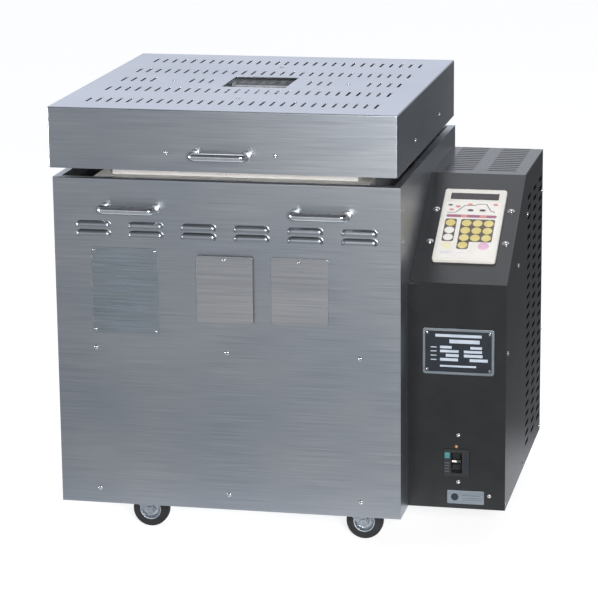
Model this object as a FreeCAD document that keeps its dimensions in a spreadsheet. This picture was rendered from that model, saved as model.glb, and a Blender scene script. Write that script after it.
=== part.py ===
"""Electric kiln on casters: a stainless, ventilated casing round a firebrick chamber, with a
hinged lid and a control box on its right side.

Frame: +X to the kiln's right, +Y to its back, +Z up, front towards -Y. The origin is on the
floor, below the centre of the kiln's overall box.
"""
import FreeCAD, Part
import math
import os
from types import SimpleNamespace

import Sketcher
from FreeCAD import Rotation, Vector

doc = FreeCAD.newDocument("electric_kiln")

SIZES = [
    ("casing_width", 600, "outer casing, left to right"),
    ("casing_depth", 600, "outer casing, front to back"),
    ("casing_height", 577, "outer casing, lower edge to top flange"),
    ("ground_clearance", 67, "floor to the casing's lower edge"),
    ("panel_sheet", 1.2, "stainless sheet of the casing and lid"),
    ("top_flange", 12.5, "folded edge of each casing panel"),
    ("fold_radius", 2, "outer radius of a fold in the stainless sheet"),
    ("louvre_radius", 7.5, "radius of a louvre's rounded back"),
    ("louvre_bulge", 5, "how far a louvre stands out of the panel"),
    ("louvre_drop", 4.5, "a louvre's centre line down to its open lip"),
    ("louvre_length", 46.4, "straight part of a louvre"),
    ("louvre_pitch", 92.1, "spacing of the louvres along the panel"),
    ("louvre_rise", 15.6, "spacing of the two rows of louvres"),
    ("louvre_down", 96.7, "lower row of louvres below the casing's top"),
    ("port_down", 165, "viewing ports below the casing's top"),
    ("left_port_x", -1, "centre of the left port cover"),
    ("right_port_x", 127.5, "centre of the right port cover"),
    ("port_radius", 24, "hole in the front panel behind a port cover"),
    ("cover_width", 98, "port cover"),
    ("cover_height", 116, "port cover"),
    ("cover_drop", 6.5, "pivot below the cover's upper edge"),
    ("cover_lift", 31.5, "pivot of a port cover above the middle of its port"),
    ("cover_sheet", 1.2, "port cover plate"),
    ("cover_corner", 4, "corner radius of a port cover"),
    ("left_cover_standoff", 5.6, "left port cover in front of the panel, clear of the louvres"),
    ("right_cover_standoff", 0.3, "right port cover in front of the panel"),
    ("frame_angle", 30, "leg of the frame's angle steel"),
    ("frame_steel", 3, "thickness of the frame's steel"),
    ("frame_height", 18, "underside of the frame above the casing's lower edge"),
    ("gusset", 92, "corner plate of the frame that carries a caster"),
    ("rail_width", 40, "cross rail below the chamber"),
    ("rail_height", 56, "cross rail, upright"),
    ("rail_spacing", 260, "between the two cross rails"),
    ("mid_rail_height", 280, "middle row of screws above the casing's lower edge"),
    ("side_screw_down", 44.4, "upper right screw below the casing's top"),
    ("side_screw_step", 54.7, "lower right screw below the upper one"),
    ("chamber_width", 300, "firing chamber, left to right"),
    ("chamber_depth", 300, "firing chamber, front to back"),
    ("brick_thickness", 65, "firebrick"),
    ("brick_length", 230, "firebrick"),
    ("course_height", 114, "one course of wall bricks"),
    ("brick_rise", 6, "wall bricks above the casing's top"),
    ("block_setback", 72, "front of the brickwork behind the casing's front"),
    ("wall_board", 25, "insulating board round the walls"),
    ("inner_sheet", 1, "inner casing round the insulation"),
    ("inner_lip", 12, "top of the inner casing below the top of the bricks"),
    ("groove_height", 10, "element groove in the wall bricks"),
    ("groove_depth", 9, "element groove in the wall bricks"),
    ("coil_diameter", 8, "heating coil"),
    ("coil_clearance", 0.3, "heating coil to its groove"),
    ("lead_diameter", 6, "element lead"),
    ("lead_setback", 43, "element leads behind the chamber's centre"),
    ("lead_length", 58, "element lead beyond the brickwork"),
    ("bushing_diameter", 14, "porcelain bushing round an element lead"),
    ("slip", 0.2, "clearance round a piece that passes through another"),
    ("probe_diameter", 8, "thermocouple sheath"),
    ("probe_reach", 35, "thermocouple inside the chamber"),
    ("probe_forward", 57, "thermocouple in front of the chamber's centre"),
    ("tube_diameter", 30, "viewing tube"),
    ("tube_bore", 20, "viewing tube"),
    ("tube_gap", 12, "front of the viewing tube behind the casing's front"),
    ("handle_length", 116, "pull handle"),
    ("handle_reach", 32, "pull handle in front of its panel"),
    ("handle_bar", 10, "pull handle bar"),
    ("handle_foot", 7, "radius of the collar at each end of a handle"),
    ("handle_bend", 13, "radius of the handle's bend along its middle"),
    ("body_handle_x", 165.5, "casing handles from the middle"),
    ("body_handle_down", 50, "casing handles below the casing's top"),
    ("label_left", 64.8, "bare plate from the casing's left side"),
    ("label_down", 119.6, "bare plate's upper edge below the casing's top"),
    ("label_width", 117, "bare plate"),
    ("label_tall", 150, "bare plate"),
    ("plate_sheet", 1, "riveted plates"),
    ("label_rivet_inset", 5, "rivets from the edge of the bare plate"),
    ("screw_x", 231, "outer front screws from the middle"),
    ("low_screw_height", 26.5, "lower row of screws above the casing's lower edge"),
    ("clip_nut", 1.2, "clip nut between a sheet and the steel behind it"),
    ("screw_head", 4, "radius of a casing screw's head"),
    ("screw_head_height", 2, "height of a screw's head"),
    ("screw_shank", 2, "radius of a screw's shank"),
    ("rivet_head", 2.6, "radius of a rivet's head"),
    ("lid_gap", 20, "casing top to the lid's lower edge"),
    ("lid_height", 104, "lid casing"),
    ("lid_side_inset", 0.7, "lid's side inside the casing's side"),
    ("lid_overhang", 22, "lid's front in front of the casing"),
    ("lid_rear_inset", 10, "lid's back in front of the casing's back"),
    ("lid_seat", 0.3, "lid bricks above the wall bricks"),
    ("lid_blanket", 35.8, "fibre blanket over the lid bricks"),
    ("tray_skirt", 46, "side of the tray that holds the lid bricks"),
    ("slot_length", 44, "slot in the top of the lid"),
    ("slot_width", 4.4, "slot in the top of the lid"),
    ("slot_pitch", 17.8, "spacing of the slots along a row"),
    ("inner_row", 102, "inner rows of slots from the lid's middle"),
    ("outer_row", 222, "outer rows of slots from the lid's middle"),
    ("opening_width", 114, "opening in the top of the lid"),
    ("opening_depth", 116, "opening in the top of the lid"),
    ("top_screw_y", 174, "top screws before and behind the lid's middle"),
    ("top_screw_x", 158, "top screws left and right of the lid's middle"),
    ("lid_screw_height", 31, "front and side screws above the lid's lower edge"),
    ("lid_screw_x", 93.5, "front screws from the lid's middle"),
    ("lid_screw_y", 130, "side screws from the lid's middle"),
    ("strap_width", 22, "strap between the lid's tray and its casing"),
    ("lid_handle_height", 30, "lid handle above the lid's lower edge"),
    ("vent_x", 14, "vent hole right of the lid's middle"),
    ("vent_bore", 32, "vent sleeve"),
    ("vent_wall", 5, "vent sleeve"),
    ("damper_width", 60, "damper plate across the vent"),
    ("damper_length", 42, "damper plate along its slide"),
    ("damper_sheet", 1.5, "damper plate"),
    ("damper_gap", 0.3, "clearance round the damper plate"),
    ("damper_tab", 10, "height of the damper's upturned tab"),
    ("damper_tab_width", 20, "damper's upturned tab"),
    ("damper_open", 25, "vent's middle to the open damper's edge"),
    ("guide_width", 8, "damper guide"),
    ("hinge_x", 180, "hinges from the middle"),
    ("hinge_setback", 18, "hinge line behind the casing's back"),
    ("hinge_rise", 10, "hinge line above the casing's top"),
    ("knuckle_radius", 8, "hinge knuckle"),
    ("pin_radius", 4, "hinge pin"),
    ("running_gap", 0.08, "radial clearance of a turning fit"),
    ("side_gap", 0.4, "clearance beside a turning piece"),
    ("hinge_width", 60, "hinge leaf"),
    ("hinge_plate", 4, "hinge leaf"),
    ("bracket_knuckle", 24, "length of the middle knuckle"),
    ("lid_open", 95, "angle of the open lid, where its stops meet the brackets"),
    ("stop_gap", 0.3, "lid stop to its bracket when the lid is fully open"),
    ("stop_drop", 3, "lid stop below the bracket's upper edge when the lid is fully open"),
    ("caster_x", 192.6, "caster pivots from the middle"),
    ("caster_inset", 90, "caster pivots from the casing's front and back"),
    ("wheel_radius", 32.5, "caster wheel"),
    ("wheel_width", 22, "caster wheel"),
    ("caster_trail", 29, "axle behind the caster's pivot"),
    ("tyre_bore", 19, "radius of the hub disc"),
    ("hub_web", 6, "thickness of the hub disc"),
    ("hub_boss", 8, "radius of the hub's boss"),
    ("axle_radius", 4, "caster axle"),
    ("fork_gap", 28, "inside of the caster fork"),
    ("fork_steel", 2.5, "caster fork"),
    ("fork_top", 40, "width of the fork's top"),
    ("caster_plate", 60, "caster's top plate"),
    ("race_radius", 18, "caster's ball race"),
    ("race_height", 6, "caster's ball race"),
    ("kingpin_radius", 4, "caster's kingpin"),
    ("box_width", 168, "control box"),
    ("box_setback", 78, "control box behind the casing's front"),
    ("box_depth", 499, "control box"),
    ("box_front_height", 397.5, "control box, lower edge to the slope"),
    ("slope_run", 248, "slope, front to back"),
    ("slope_rise", 142.5, "slope, bottom to top"),
    ("box_screw_inset", 9, "side screws from the edges of the control box"),
    ("box_sheet", 1.5, "steel sheet of the control box"),
    ("side_slot_length", 45, "slot in the box's side"),
    ("side_slot_height", 7, "slot in the box's side"),
    ("side_slot_pitch", 18.25, "spacing of the side slots, upwards"),
    ("side_slot_first", 35.6, "lowest side slot above the box's lower edge"),
    ("side_column", 36, "rear column of side slots in front of the box's back"),
    ("side_column_pitch", 82, "spacing of the columns"),
    ("top_slot_length", 52, "slot in the box's top"),
    ("top_slot_width", 5, "slot in the box's top"),
    ("top_slot_pitch", 17.5, "spacing of the top slots"),
    ("top_slot_last", 5, "last top slot in front of the box's back"),
    ("top_slot_inset", 18, "top slots from the box's left side"),
    ("top_column_pitch", 76, "spacing of the two columns of top slots"),
    ("panel_left", 32.5, "controller from the box's left side"),
    ("panel_up", 53, "controller above the fold, along the slope"),
    ("panel_width", 109, "controller"),
    ("panel_tall", 183.5, "controller"),
    ("panel_thick", 7, "controller's housing in front of the slope"),
    ("panel_corner", 5, "controller's corner radius"),
    ("panel_depth", 32, "controller behind the slope"),
    ("panel_rim", 9, "controller's rim over the cut-out in the slope"),
    ("window_left", 12, "display window from the controller's left"),
    ("window_up", 155.5, "display window from the controller's lower edge"),
    ("window_width", 84.5, "display window"),
    ("window_tall", 17.2, "display window"),
    ("window_deep", 1.5, "display window"),
    ("overlay_sheet", 0.5, "keypad overlay"),
    ("key_radius", 8.5, "embossed key"),
    ("key_rise", 0.6, "embossed key above the overlay"),
    ("panel_screw_out", 11, "controller screws beside the housing"),
    ("panel_screw_low", 52, "lower controller screws above its lower edge"),
    ("panel_screw_pitch", 83, "between the controller screws, along the slope"),
    ("nameplate_left", 24.7, "nameplate from the box's left side"),
    ("nameplate_height", 239.3, "nameplate above the box's lower edge"),
    ("nameplate_width", 123.3, "nameplate"),
    ("nameplate_tall", 80.7, "nameplate"),
    ("nameplate_rim", 4, "nameplate's raised border"),
    ("nameplate_screw", 8, "nameplate screws from its edges"),
    ("breaker_left", 62, "breaker from the box's left side"),
    ("breaker_height", 58, "breaker above the box's lower edge"),
    ("breaker_width", 44, "breaker"),
    ("breaker_tall", 48, "breaker"),
    ("breaker_deep", 55, "breaker behind the front sheet"),
    ("breaker_face", 2, "breaker in front of the sheet"),
    ("breaker_slot", 19, "width of the lever's recess"),
    ("lever_width", 16, "breaker lever"),
    ("lever_length", 12, "breaker lever from its axis"),
    ("lever_thick", 8, "breaker lever"),
    ("gland_height", 60, "cable gland above the box's lower edge"),
    ("gland_radius", 14, "cable gland's nut"),
    ("gland_thread", 10, "cable gland's thread"),
    ("gland_bore", 7, "radius of the cable gland's bore"),
    ("gland_reach", 22, "cable gland behind the box"),
]

sheet = doc.addObject("Spreadsheet::Sheet", "Sizes")


class Size:
    """A length with the sheet expression that gives it and the number it has now."""

    def __init__(self, text, value):
        self.text = text
        self.value = value

    def __add__(self, other):
        return Size(f"({self.text} + {text_of(other)})", self.value + number(other))

    def __radd__(self, other):
        return Size(f"({text_of(other)} + {self.text})", number(other) + self.value)

    def __sub__(self, other):
        return Size(f"({self.text} - {text_of(other)})", self.value - number(other))

    def __rsub__(self, other):
        return Size(f"({text_of(other)} - {self.text})", number(other) - self.value)

    def __mul__(self, other):
        return Size(f"({self.text} * {text_of(other)})", self.value * number(other))

    def __rmul__(self, other):
        return Size(f"({text_of(other)} * {self.text})", number(other) * self.value)

    def __truediv__(self, other):
        return Size(f"({self.text} / {text_of(other)})", self.value / number(other))

    def __neg__(self):
        return Size(f"(0 - {self.text})", -self.value)


def text_of(length):
    return length.text if isinstance(length, Size) else f"({length})"


def number(length):
    return length.value if isinstance(length, Size) else length


ZERO = Size("0", 0)


def fill_sheet():
    """Write each driving size to the sheet and return them by name."""
    sizes = {}
    for row, (name, value, note) in enumerate(SIZES, start=1):
        sheet.set(f"A{row}", name)
        sheet.set(f"B{row}", str(value))
        sheet.set(f"C{row}", note)
        sheet.setAlias(f"B{row}", name)
        sizes[name] = Size(f"Sizes.{name}", value)
    doc.recompute()
    return SimpleNamespace(**sizes)


S = fill_sheet()

# Planes that many pieces share. The casing's front is y = 0 and its middle is x = 0 here.
left, right = -S.casing_width / 2, S.casing_width / 2
back = S.casing_depth
bottom = S.ground_clearance
top = bottom + S.casing_height
lid_left, lid_right = left + S.lid_side_inset, right - S.lid_side_inset
lid_front, lid_back = -S.lid_overhang, back - S.lid_rear_inset
lid_bottom = top + S.lid_gap
lid_top = lid_bottom + S.lid_height
lid_middle = (lid_front + lid_back) / 2
hinge_y = back + S.hinge_setback
hinge_z = top + S.hinge_rise
brick_top = top + S.brick_rise
block_width = S.chamber_width + 2 * S.brick_thickness
block_depth = S.chamber_depth + 2 * S.brick_thickness
block_front = S.block_setback
chamber_front = block_front + S.brick_thickness
chamber_back = chamber_front + S.chamber_depth
chamber_middle = chamber_front + S.chamber_depth / 2
COURSES = 3
GROOVES = 2
chamber_floor = brick_top - COURSES * S.course_height
brick_bottom = chamber_floor - S.brick_thickness
frame_bottom = bottom + S.frame_height
hearth_bottom = frame_bottom + S.rail_height + S.inner_sheet
frame_top = frame_bottom + S.frame_angle
frame_inset = S.panel_sheet + S.clip_nut
tray_top = brick_top + S.lid_seat + S.brick_thickness + S.lid_blanket + S.panel_sheet
box_left, box_right = right, right + S.box_width
box_front, box_back = S.box_setback, S.box_setback + S.box_depth
box_fold = bottom + S.box_front_height
box_ridge = box_front + S.slope_run
box_top = box_fold + S.slope_rise


slope = Size(f"atan({S.slope_rise.text} / {S.slope_run.text})",
             math.degrees(math.atan2(S.slope_rise.value, S.slope_run.value)))


def sine(angle):
    return Size(f"sin({angle.text})", math.sin(math.radians(angle.value)))


def cosine(angle):
    return Size(f"cos({angle.text})", math.cos(math.radians(angle.value)))


# The heel of a lid arm, placed so that it meets the bracket when the lid is open.
stop_y = S.hinge_plate + S.stop_gap - S.hinge_setback
stop_z = -S.hinge_rise - S.fold_radius - S.stop_drop
heel_y = hinge_y + stop_y * cosine(S.lid_open) - stop_z * sine(S.lid_open)
heel_z = hinge_z + stop_y * sine(S.lid_open) + stop_z * cosine(S.lid_open)

# The row's origin is below the middle of the overall box.
origin_x = S.box_width / 2 + S.screw_head_height / 2
origin_y = (heel_y - S.lid_overhang - S.handle_reach) / 2

# The turn that points a piece's own +Z along each direction.
FACING = {
    "up": Rotation(),
    "down": Rotation(Vector(1, 0, 0), 180),
    "front": Rotation(Vector(1, 0, 0), 90),
    "back": Rotation(Vector(1, 0, 0), -90),
    "right": Rotation(Vector(0, 1, 0), 90),
    "left": Rotation(Vector(0, 1, 0), -90),
}
DIRECTION = {"up": (0, 0, 1), "down": (0, 0, -1), "front": (0, -1, 0),
             "back": (0, 1, 0), "right": (1, 0, 0), "left": (-1, 0, 0)}

parts = []


def bind(item, name, length):
    """Set a property, by an expression where it comes from the sheet."""
    if isinstance(length, Size):
        item.setExpression(name, length.text)
    else:
        setattr(item, name, length)


def place(item, x, y, z, facing="up"):
    """Put a piece's own origin at a point of the kiln."""
    item.Placement = FreeCAD.Placement(Vector(), FACING[facing])
    for axis, length in (("x", x - origin_x), ("y", y - origin_y), ("z", z)):
        item.setExpression(f"Placement.Base.{axis}", text_of(length))
    return item


def place_on_slope(item, along, up, out):
    """Put a piece on the control box's slope: along X, up the slope and out of it."""
    place(item, box_left + along, box_front + up * cosine(slope) - out * sine(slope),
          box_fold + up * sine(slope) + out * cosine(slope))
    item.Placement = FreeCAD.Placement(Vector(), Rotation(Vector(1, 0, 0), slope.value))
    item.setExpression("Placement.Rotation.Angle", slope.text)
    return item


def box(name, x, y, z, length, width, height):
    item = doc.addObject("Part::Box", name)
    bind(item, "Length", length)
    bind(item, "Width", width)
    bind(item, "Height", height)
    return place(item, x, y, z)


def block(name, low, high):
    """A box given by its low and high corners."""
    return box(name, *low, *(h - l for l, h in zip(low, high)))


def cylinder(name, x, y, z, radius, length, facing="up"):
    item = doc.addObject("Part::Cylinder", name)
    bind(item, "Radius", radius)
    bind(item, "Height", length)
    return place(item, x, y, z, facing)


def ball(name, x, y, z, radius):
    item = doc.addObject("Part::Sphere", name)
    bind(item, "Radius", radius)
    return place(item, x, y, z)


def fuse(name, items):
    item = doc.addObject("Part::MultiFuse", name)
    item.Shapes = items
    return item


def group(name, items):
    """Separate solids in one piece of the document."""
    item = doc.addObject("Part::Compound", name)
    item.Links = items
    return item


def cut(name, base, tools):
    item = doc.addObject("Part::Cut", name)
    item.Base = base
    item.Tool = tools[0] if len(tools) == 1 else group(name + "_tools", tools)
    return item


def common(name, base, tool):
    item = doc.addObject("Part::Common", name)
    item.Base = base
    item.Tool = tool
    return item


def sub_part(item, label):
    """Name a finished piece of the kiln."""
    item.Label = label
    parts.append(item)
    return item


def new_body(name, x, y, z, facing="up"):
    return place(doc.addObject("PartDesign::Body", name), x, y, z, facing)


def plane(body, role):
    """One of a body's own planes or axes."""
    return [feature for feature in body.Origin.OriginFeatures if feature.Role == role][0]


def new_sketch(body, role):
    sketch = body.newObject("Sketcher::SketchObject", body.Name + "_sketch")
    sketch.AttachmentSupport = [(plane(body, role), "")]
    sketch.MapMode = "FlatFace"
    return sketch


def measure(sketch, kind, places, length):
    """Add one dimension to a sketch and tie it to the sheet."""
    index = sketch.addConstraint(Sketcher.Constraint(kind, *places, number(length)))
    if isinstance(length, Size):
        sketch.setExpression(f"Constraints[{index}]", length.text)


def outline(body, role, points):
    """A closed outline of straight lines, each corner measured from the sketch's origin."""
    sketch = new_sketch(body, role)
    corners = [Vector(number(x), number(y), 0) for x, y in points]
    count = len(points)
    for index in range(count):
        sketch.addGeometry(Part.LineSegment(corners[index], corners[(index + 1) % count]), False)
    for index, (x, y) in enumerate(points):
        following = (index + 1) % count
        sketch.addConstraint(Sketcher.Constraint("Coincident", index, 2, following, 1))
        measure(sketch, "DistanceX", (-1, 1, index, 1), x)
        measure(sketch, "DistanceY", (-1, 1, index, 1), y)
    return sketch


def pad(body, sketch, length, away=False):
    feature = body.newObject("PartDesign::Pad", body.Name + "_pad")
    feature.Profile = sketch
    feature.Reversed = away
    bind(feature, "Length", length)
    return feature


def revolve(body, sketch, axis="V_Axis"):
    feature = body.newObject("PartDesign::Revolution", body.Name + "_turned")
    feature.Profile = sketch
    feature.ReferenceAxis = (sketch, [axis])
    feature.Angle = 360
    return feature


def body_box(body, kind, low, high):
    """A box added to or taken from a body, in the body's own frame."""
    feature = body.newObject(f"PartDesign::{kind}Box", f"{body.Name}_{kind.lower()}")
    for side, start, end in zip(("Length", "Width", "Height"), low, high):
        bind(feature, side, end - start)
    for axis, length in zip("xyz", low):
        feature.setExpression(f"Placement.Base.{axis}", length.text)
    return feature


def edges_where(feature, test):
    """The names of a feature's edges whose middle and direction pass a test."""
    feature.recompute(True)
    names = []
    for index, edge in enumerate(feature.Shape.Edges, start=1):
        middle = edge.valueAt((edge.FirstParameter + edge.LastParameter) / 2)
        direction = edge.tangentAt((edge.FirstParameter + edge.LastParameter) / 2)
        if test(middle, direction):
            names.append(f"Edge{index}")
    return names


def fillet(body, feature, test, radius):
    names = edges_where(feature, test)
    rounded = body.newObject("PartDesign::Fillet", body.Name + "_rounded")
    rounded.Base = (feature, names)
    bind(rounded, "Radius", radius)
    return rounded


def along(axis):
    """A test for edges that run along one axis."""
    return lambda middle, direction: abs(getattr(direction, axis)) > 0.99


def pattern(body, feature, axis, length, count):
    """Repeat a feature along one of the body's axes."""
    row = body.newObject("PartDesign::LinearPattern", body.Name + "_row")
    row.Originals = [feature]
    row.Direction = (plane(body, axis), [""])
    bind(row, "Length", length)
    row.Occurrences = count
    body.Tip = row
    return row


def slot_row(name, low, size, axis, pitch, count):
    """Equal blocks in a row, to be cut out as slots. low is the first one's low corner."""
    body = new_body(name, *low)
    body.AllowCompound = True
    slot = body_box(body, "Additive", (ZERO, ZERO, ZERO), size)
    body.Tip = slot
    pattern(body, slot, axis, pitch * (count - 1), count)
    return body


def screw(name, x, y, z, facing, head, depth):
    """A pan-head screw on a surface: a tapered head outside and its shank inside."""
    dx, dy, dz = DIRECTION[facing]
    crown = doc.addObject("Part::Cone", name + "_head")
    bind(crown, "Radius1", head)
    bind(crown, "Radius2", head * 0.55)
    bind(crown, "Height", S.screw_head_height)
    place(crown, x, y, z, facing)
    shank = cylinder(name + "_shank", x - dx * depth, y - dy * depth, z - dz * depth,
                     S.screw_shank, depth, facing)
    return fuse(name, [crown, shank])


def hole(name, x, y, z, facing, radius, depth):
    """A drill through a wall whose outer face is at the point."""
    dx, dy, dz = DIRECTION[facing]
    margin = 1
    return cylinder(name, x - dx * (depth + margin), y - dy * (depth + margin),
                    z - dz * (depth + margin), radius, depth + 2 * margin, facing)


def screw_holes(name, places, depth):
    return [hole(f"{name}_hole_{index}", x, y, z, facing, S.screw_shank + S.slip, depth)
            for index, (x, y, z, facing) in enumerate(places)]


def screws(name, places, head, depth):
    return [screw(f"{name}_{index}", x, y, z, facing, head, depth)
            for index, (x, y, z, facing) in enumerate(places)]


# The line of the port covers' pivots.
pivot_z = top - S.port_down + S.cover_lift

# Where the casing's screws go.
low_row = bottom + S.low_screw_height
mid_row = bottom + S.mid_rail_height
front_screw_places = [(x, ZERO, z, "front")
                      for z in (low_row, mid_row) for x in (-S.screw_x, ZERO, S.screw_x)]
rear_screw_places = [(x, back, z, "back")
                     for z in (low_row, mid_row) for x in (-S.screw_x, ZERO, S.screw_x)]
side_screw_y = (S.casing_depth / 2 - S.screw_x, S.casing_depth / 2 + S.screw_x)
left_screw_places = [(left, y, z, "left") for z in (low_row, mid_row) for y in side_screw_y]
right_screw_places = [(right, S.frame_angle - S.screw_head, top - down, "right")
                      for down in (S.side_screw_down, S.side_screw_down + S.side_screw_step)]
casing_screw_depth = frame_inset


def panel_profile(body, depth_sign=1):
    """A sheet panel standing on edge with its upper edge folded inwards, as a section."""
    sheet_side = depth_sign * S.panel_sheet
    flange_side = depth_sign * S.top_flange
    return outline(body, "YZ_Plane", [
        (0, 0), (0, S.casing_height), (flange_side, S.casing_height),
        (flange_side, S.casing_height - S.panel_sheet),
        (sheet_side, S.casing_height - S.panel_sheet), (sheet_side, 0)])


def louvre_capsules(name, radius):
    """Twelve lying capsules: six along the panel in two rows."""
    capsules = []
    count = 6
    for row in range(2):
        z = top - S.louvre_down + S.louvre_rise * row
        for index in range(count):
            middle = S.louvre_pitch * (index - (count - 1) / 2)
            start = middle - S.louvre_length / 2
            deep = S.louvre_radius - S.louvre_bulge
            tag = f"{name}_{row}_{index}"
            capsules.append(fuse(tag, [
                cylinder(tag + "_bar", start, deep, z, radius, S.louvre_length, "right"),
                ball(tag + "_left", start, deep, z, radius),
                ball(tag + "_right", start + S.louvre_length, deep, z, radius)]))
    return group(name, capsules)


def louvre_limits(name, behind):
    """The boxes that keep only a louvre's part above its open lip."""
    boxes = []
    reach = S.louvre_length + 4 * S.louvre_radius
    for row in range(2):
        z = top - S.louvre_down + S.louvre_rise * row - S.louvre_drop
        boxes.append(box(f"{name}_{row}", -S.louvre_pitch * 2.5 - reach / 2, -S.louvre_bulge * 2, z,
                         S.louvre_pitch * 5 + reach, S.louvre_bulge * 2 + behind,
                         S.louvre_drop + S.louvre_radius))
    return group(name, boxes)


def front_panel():
    """Front sheet with its folded top, two rows of pressed louvres and two viewing ports."""
    body = new_body("front_sheet", left, ZERO, bottom)
    blank = pad(body, panel_profile(body), S.casing_width)
    height, margin = S.casing_height.value, 0.01
    fillet(body, blank, lambda middle, direction: abs(direction.x) > 0.99
           and middle.y < margin and middle.z > height - margin, S.fold_radius)
    outer = common("louvre_backs", louvre_capsules("louvre_outer", S.louvre_radius),
                   louvre_limits("louvre_keep", S.panel_sheet))
    inner = common("louvre_hollows",
                   louvre_capsules("louvre_inner", S.louvre_radius - S.panel_sheet),
                   louvre_limits("louvre_open", S.louvre_radius))
    pressed = fuse("pressed_front", [body, outer])
    ports = [hole(f"port_{index}", x, ZERO, top - S.port_down, "front", S.port_radius,
                  S.panel_sheet)
             for index, x in enumerate((S.left_port_x, S.right_port_x))]
    opened = cut("opened_front", pressed, [inner])
    pivots = [(x, ZERO, pivot_z, "front") for x in (S.left_port_x, S.right_port_x)]
    drills = ports + screw_holes("front", front_screw_places + pivots, S.panel_sheet)
    sub_part(cut("front_panel", opened, drills), "front_panel")


def rear_panel():
    """Rear sheet with its folded top."""
    body = new_body("rear_sheet", left, back, bottom)
    blank = pad(body, panel_profile(body, -1), S.casing_width)
    height, margin = S.casing_height.value, 0.01
    fillet(body, blank, lambda middle, direction: abs(direction.x) > 0.99
           and middle.y > -margin and middle.z > height - margin, S.fold_radius)
    drills = screw_holes("rear", rear_screw_places, S.panel_sheet)
    sub_part(cut("rear_panel", body, drills), "rear_panel")


def side_panel(label, outside, inward, screw_places):
    """Side sheet between the front and rear sheets, folded inwards on three edges.
    inward is 1 for the left side and -1 for the right side."""
    sheet_width, flange = S.panel_sheet, S.top_flange
    low_y, high_y = S.panel_sheet, back - S.panel_sheet

    def strip(name, start, width, y, depth, z, height):
        low_x = outside + start if inward > 0 else outside - start - width
        return box(f"{label}_{name}", low_x, y, z, width, depth, height)

    wall = strip("wall", ZERO, sheet_width, low_y, high_y - low_y, bottom,
                 S.casing_height - sheet_width)
    edges = [strip(name, sheet_width, flange - sheet_width, y, sheet_width, bottom,
                   S.casing_height - sheet_width)
             for name, y in (("front_edge", low_y), ("rear_edge", high_y - sheet_width))]
    roof = strip("top_edge", ZERO, flange, flange, back - 2 * flange, top - sheet_width,
                 sheet_width)
    folded = fuse(label + "_folded", [wall, roof] + edges)
    drills = screw_holes(label, screw_places, S.panel_sheet)
    if inward < 0:
        drills.append(hole(label + "_wiring", outside, box_front + S.box_depth / 2,
                           bottom + S.box_front_height / 2, "right", S.gland_thread,
                           S.panel_sheet))
    sub_part(cut(label, folded, drills), label)


def ring(name, low, high, wall, z, height):
    """A rectangular ring standing on z."""
    outer = block(name + "_outer", (low[0], low[1], z), (high[0], high[1], z + height))
    inner = block(name + "_inner", (low[0] + wall, low[1] + wall, z - 1),
                  (high[0] - wall, high[1] - wall, z + height + 1))
    return cut(name, outer, [inner])


def base_frame():
    """Welded ring of angle steel with corner plates and two rails that carry the chamber."""
    low = (left + frame_inset, frame_inset)
    high = (right - frame_inset, back - frame_inset)
    pieces = [ring("frame_wall", low, high, S.frame_steel, frame_bottom, S.frame_angle),
              ring("frame_flange", low, high, S.frame_angle, frame_bottom, S.frame_steel)]
    for x in (low[0], high[0] - S.gusset):
        for y in (low[1], high[1] - S.gusset):
            pieces.append(box("gusset_plate", x, y, frame_bottom, S.gusset, S.gusset,
                              S.frame_steel))
    rail_bottom = frame_bottom
    rail_top = hearth_bottom - S.inner_sheet
    for side in (-1, 1):
        y = chamber_middle + side * S.rail_spacing / 2
        x = low[0] + S.frame_steel
        length = high[0] - low[0] - 2 * S.frame_steel
        pieces.append(box("rail_web", x, y - S.frame_steel / 2, rail_bottom, length,
                          S.frame_steel, rail_top - rail_bottom))
        pieces.append(box("rail_head", x, y - S.rail_width / 2, rail_top - S.frame_steel, length,
                          S.rail_width, S.frame_steel))
    sub_part(fuse("base_frame", pieces), "base_frame")


def frame_uprights():
    """Four corner posts of angle steel and the flat rails between them for the middle screws."""
    pieces = []
    post_height = top - S.panel_sheet - frame_top
    leg, steel = S.frame_angle, S.frame_steel
    for x_side in (-1, 1):
        for y_side in (-1, 1):
            x = left + frame_inset if x_side < 0 else right - frame_inset - leg
            y = frame_inset if y_side < 0 else back - frame_inset - leg
            solid = box("post", x, y, frame_top, leg, leg, post_height)
            hollow_x = x + steel if x_side < 0 else x - 1
            hollow_y = y + steel if y_side < 0 else y - 1
            hollow = box("post_hollow", hollow_x, hollow_y, frame_top - 1, leg - steel + 1,
                         leg - steel + 1, post_height + 2)
            pieces.append(cut("corner_post", solid, [hollow]))
    z = mid_row - leg / 2
    span_x = S.casing_width - 2 * frame_inset - 2 * leg
    span_y = S.casing_depth - 2 * frame_inset - 2 * leg
    for y in (frame_inset, back - frame_inset - steel):
        pieces.append(box("cross_rail", left + frame_inset + leg, y, z, span_x, steel, leg))
    for x in (left + frame_inset, right - frame_inset - steel):
        pieces.append(box("side_rail", x, frame_inset + leg, z, steel, span_y, leg))
    sub_part(group("frame_uprights", pieces), "frame_uprights")


board_low = (-block_width / 2 - S.wall_board, block_front - S.wall_board)
board_high = (block_width / 2 + S.wall_board, block_front + block_depth + S.wall_board)
level_pitch = S.course_height / GROOVES
levels = [chamber_floor + level_pitch * (index + 0.5) for index in range(COURSES * GROOVES)]
port_z = top - S.port_down
lead_y = chamber_middle + S.lead_setback
probe_y = chamber_middle - S.probe_forward
probe_z = chamber_floor + S.course_height * COURSES / 2
inner_right = board_high[0] + S.inner_sheet


def tube_holes(name, radius, start, length):
    """The two holes along Y for the viewing tubes."""
    return [cylinder(f"{name}_tube_{index}", x, start, port_z, radius, length, "back")
            for index, x in enumerate((S.left_port_x, S.right_port_x))]


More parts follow.
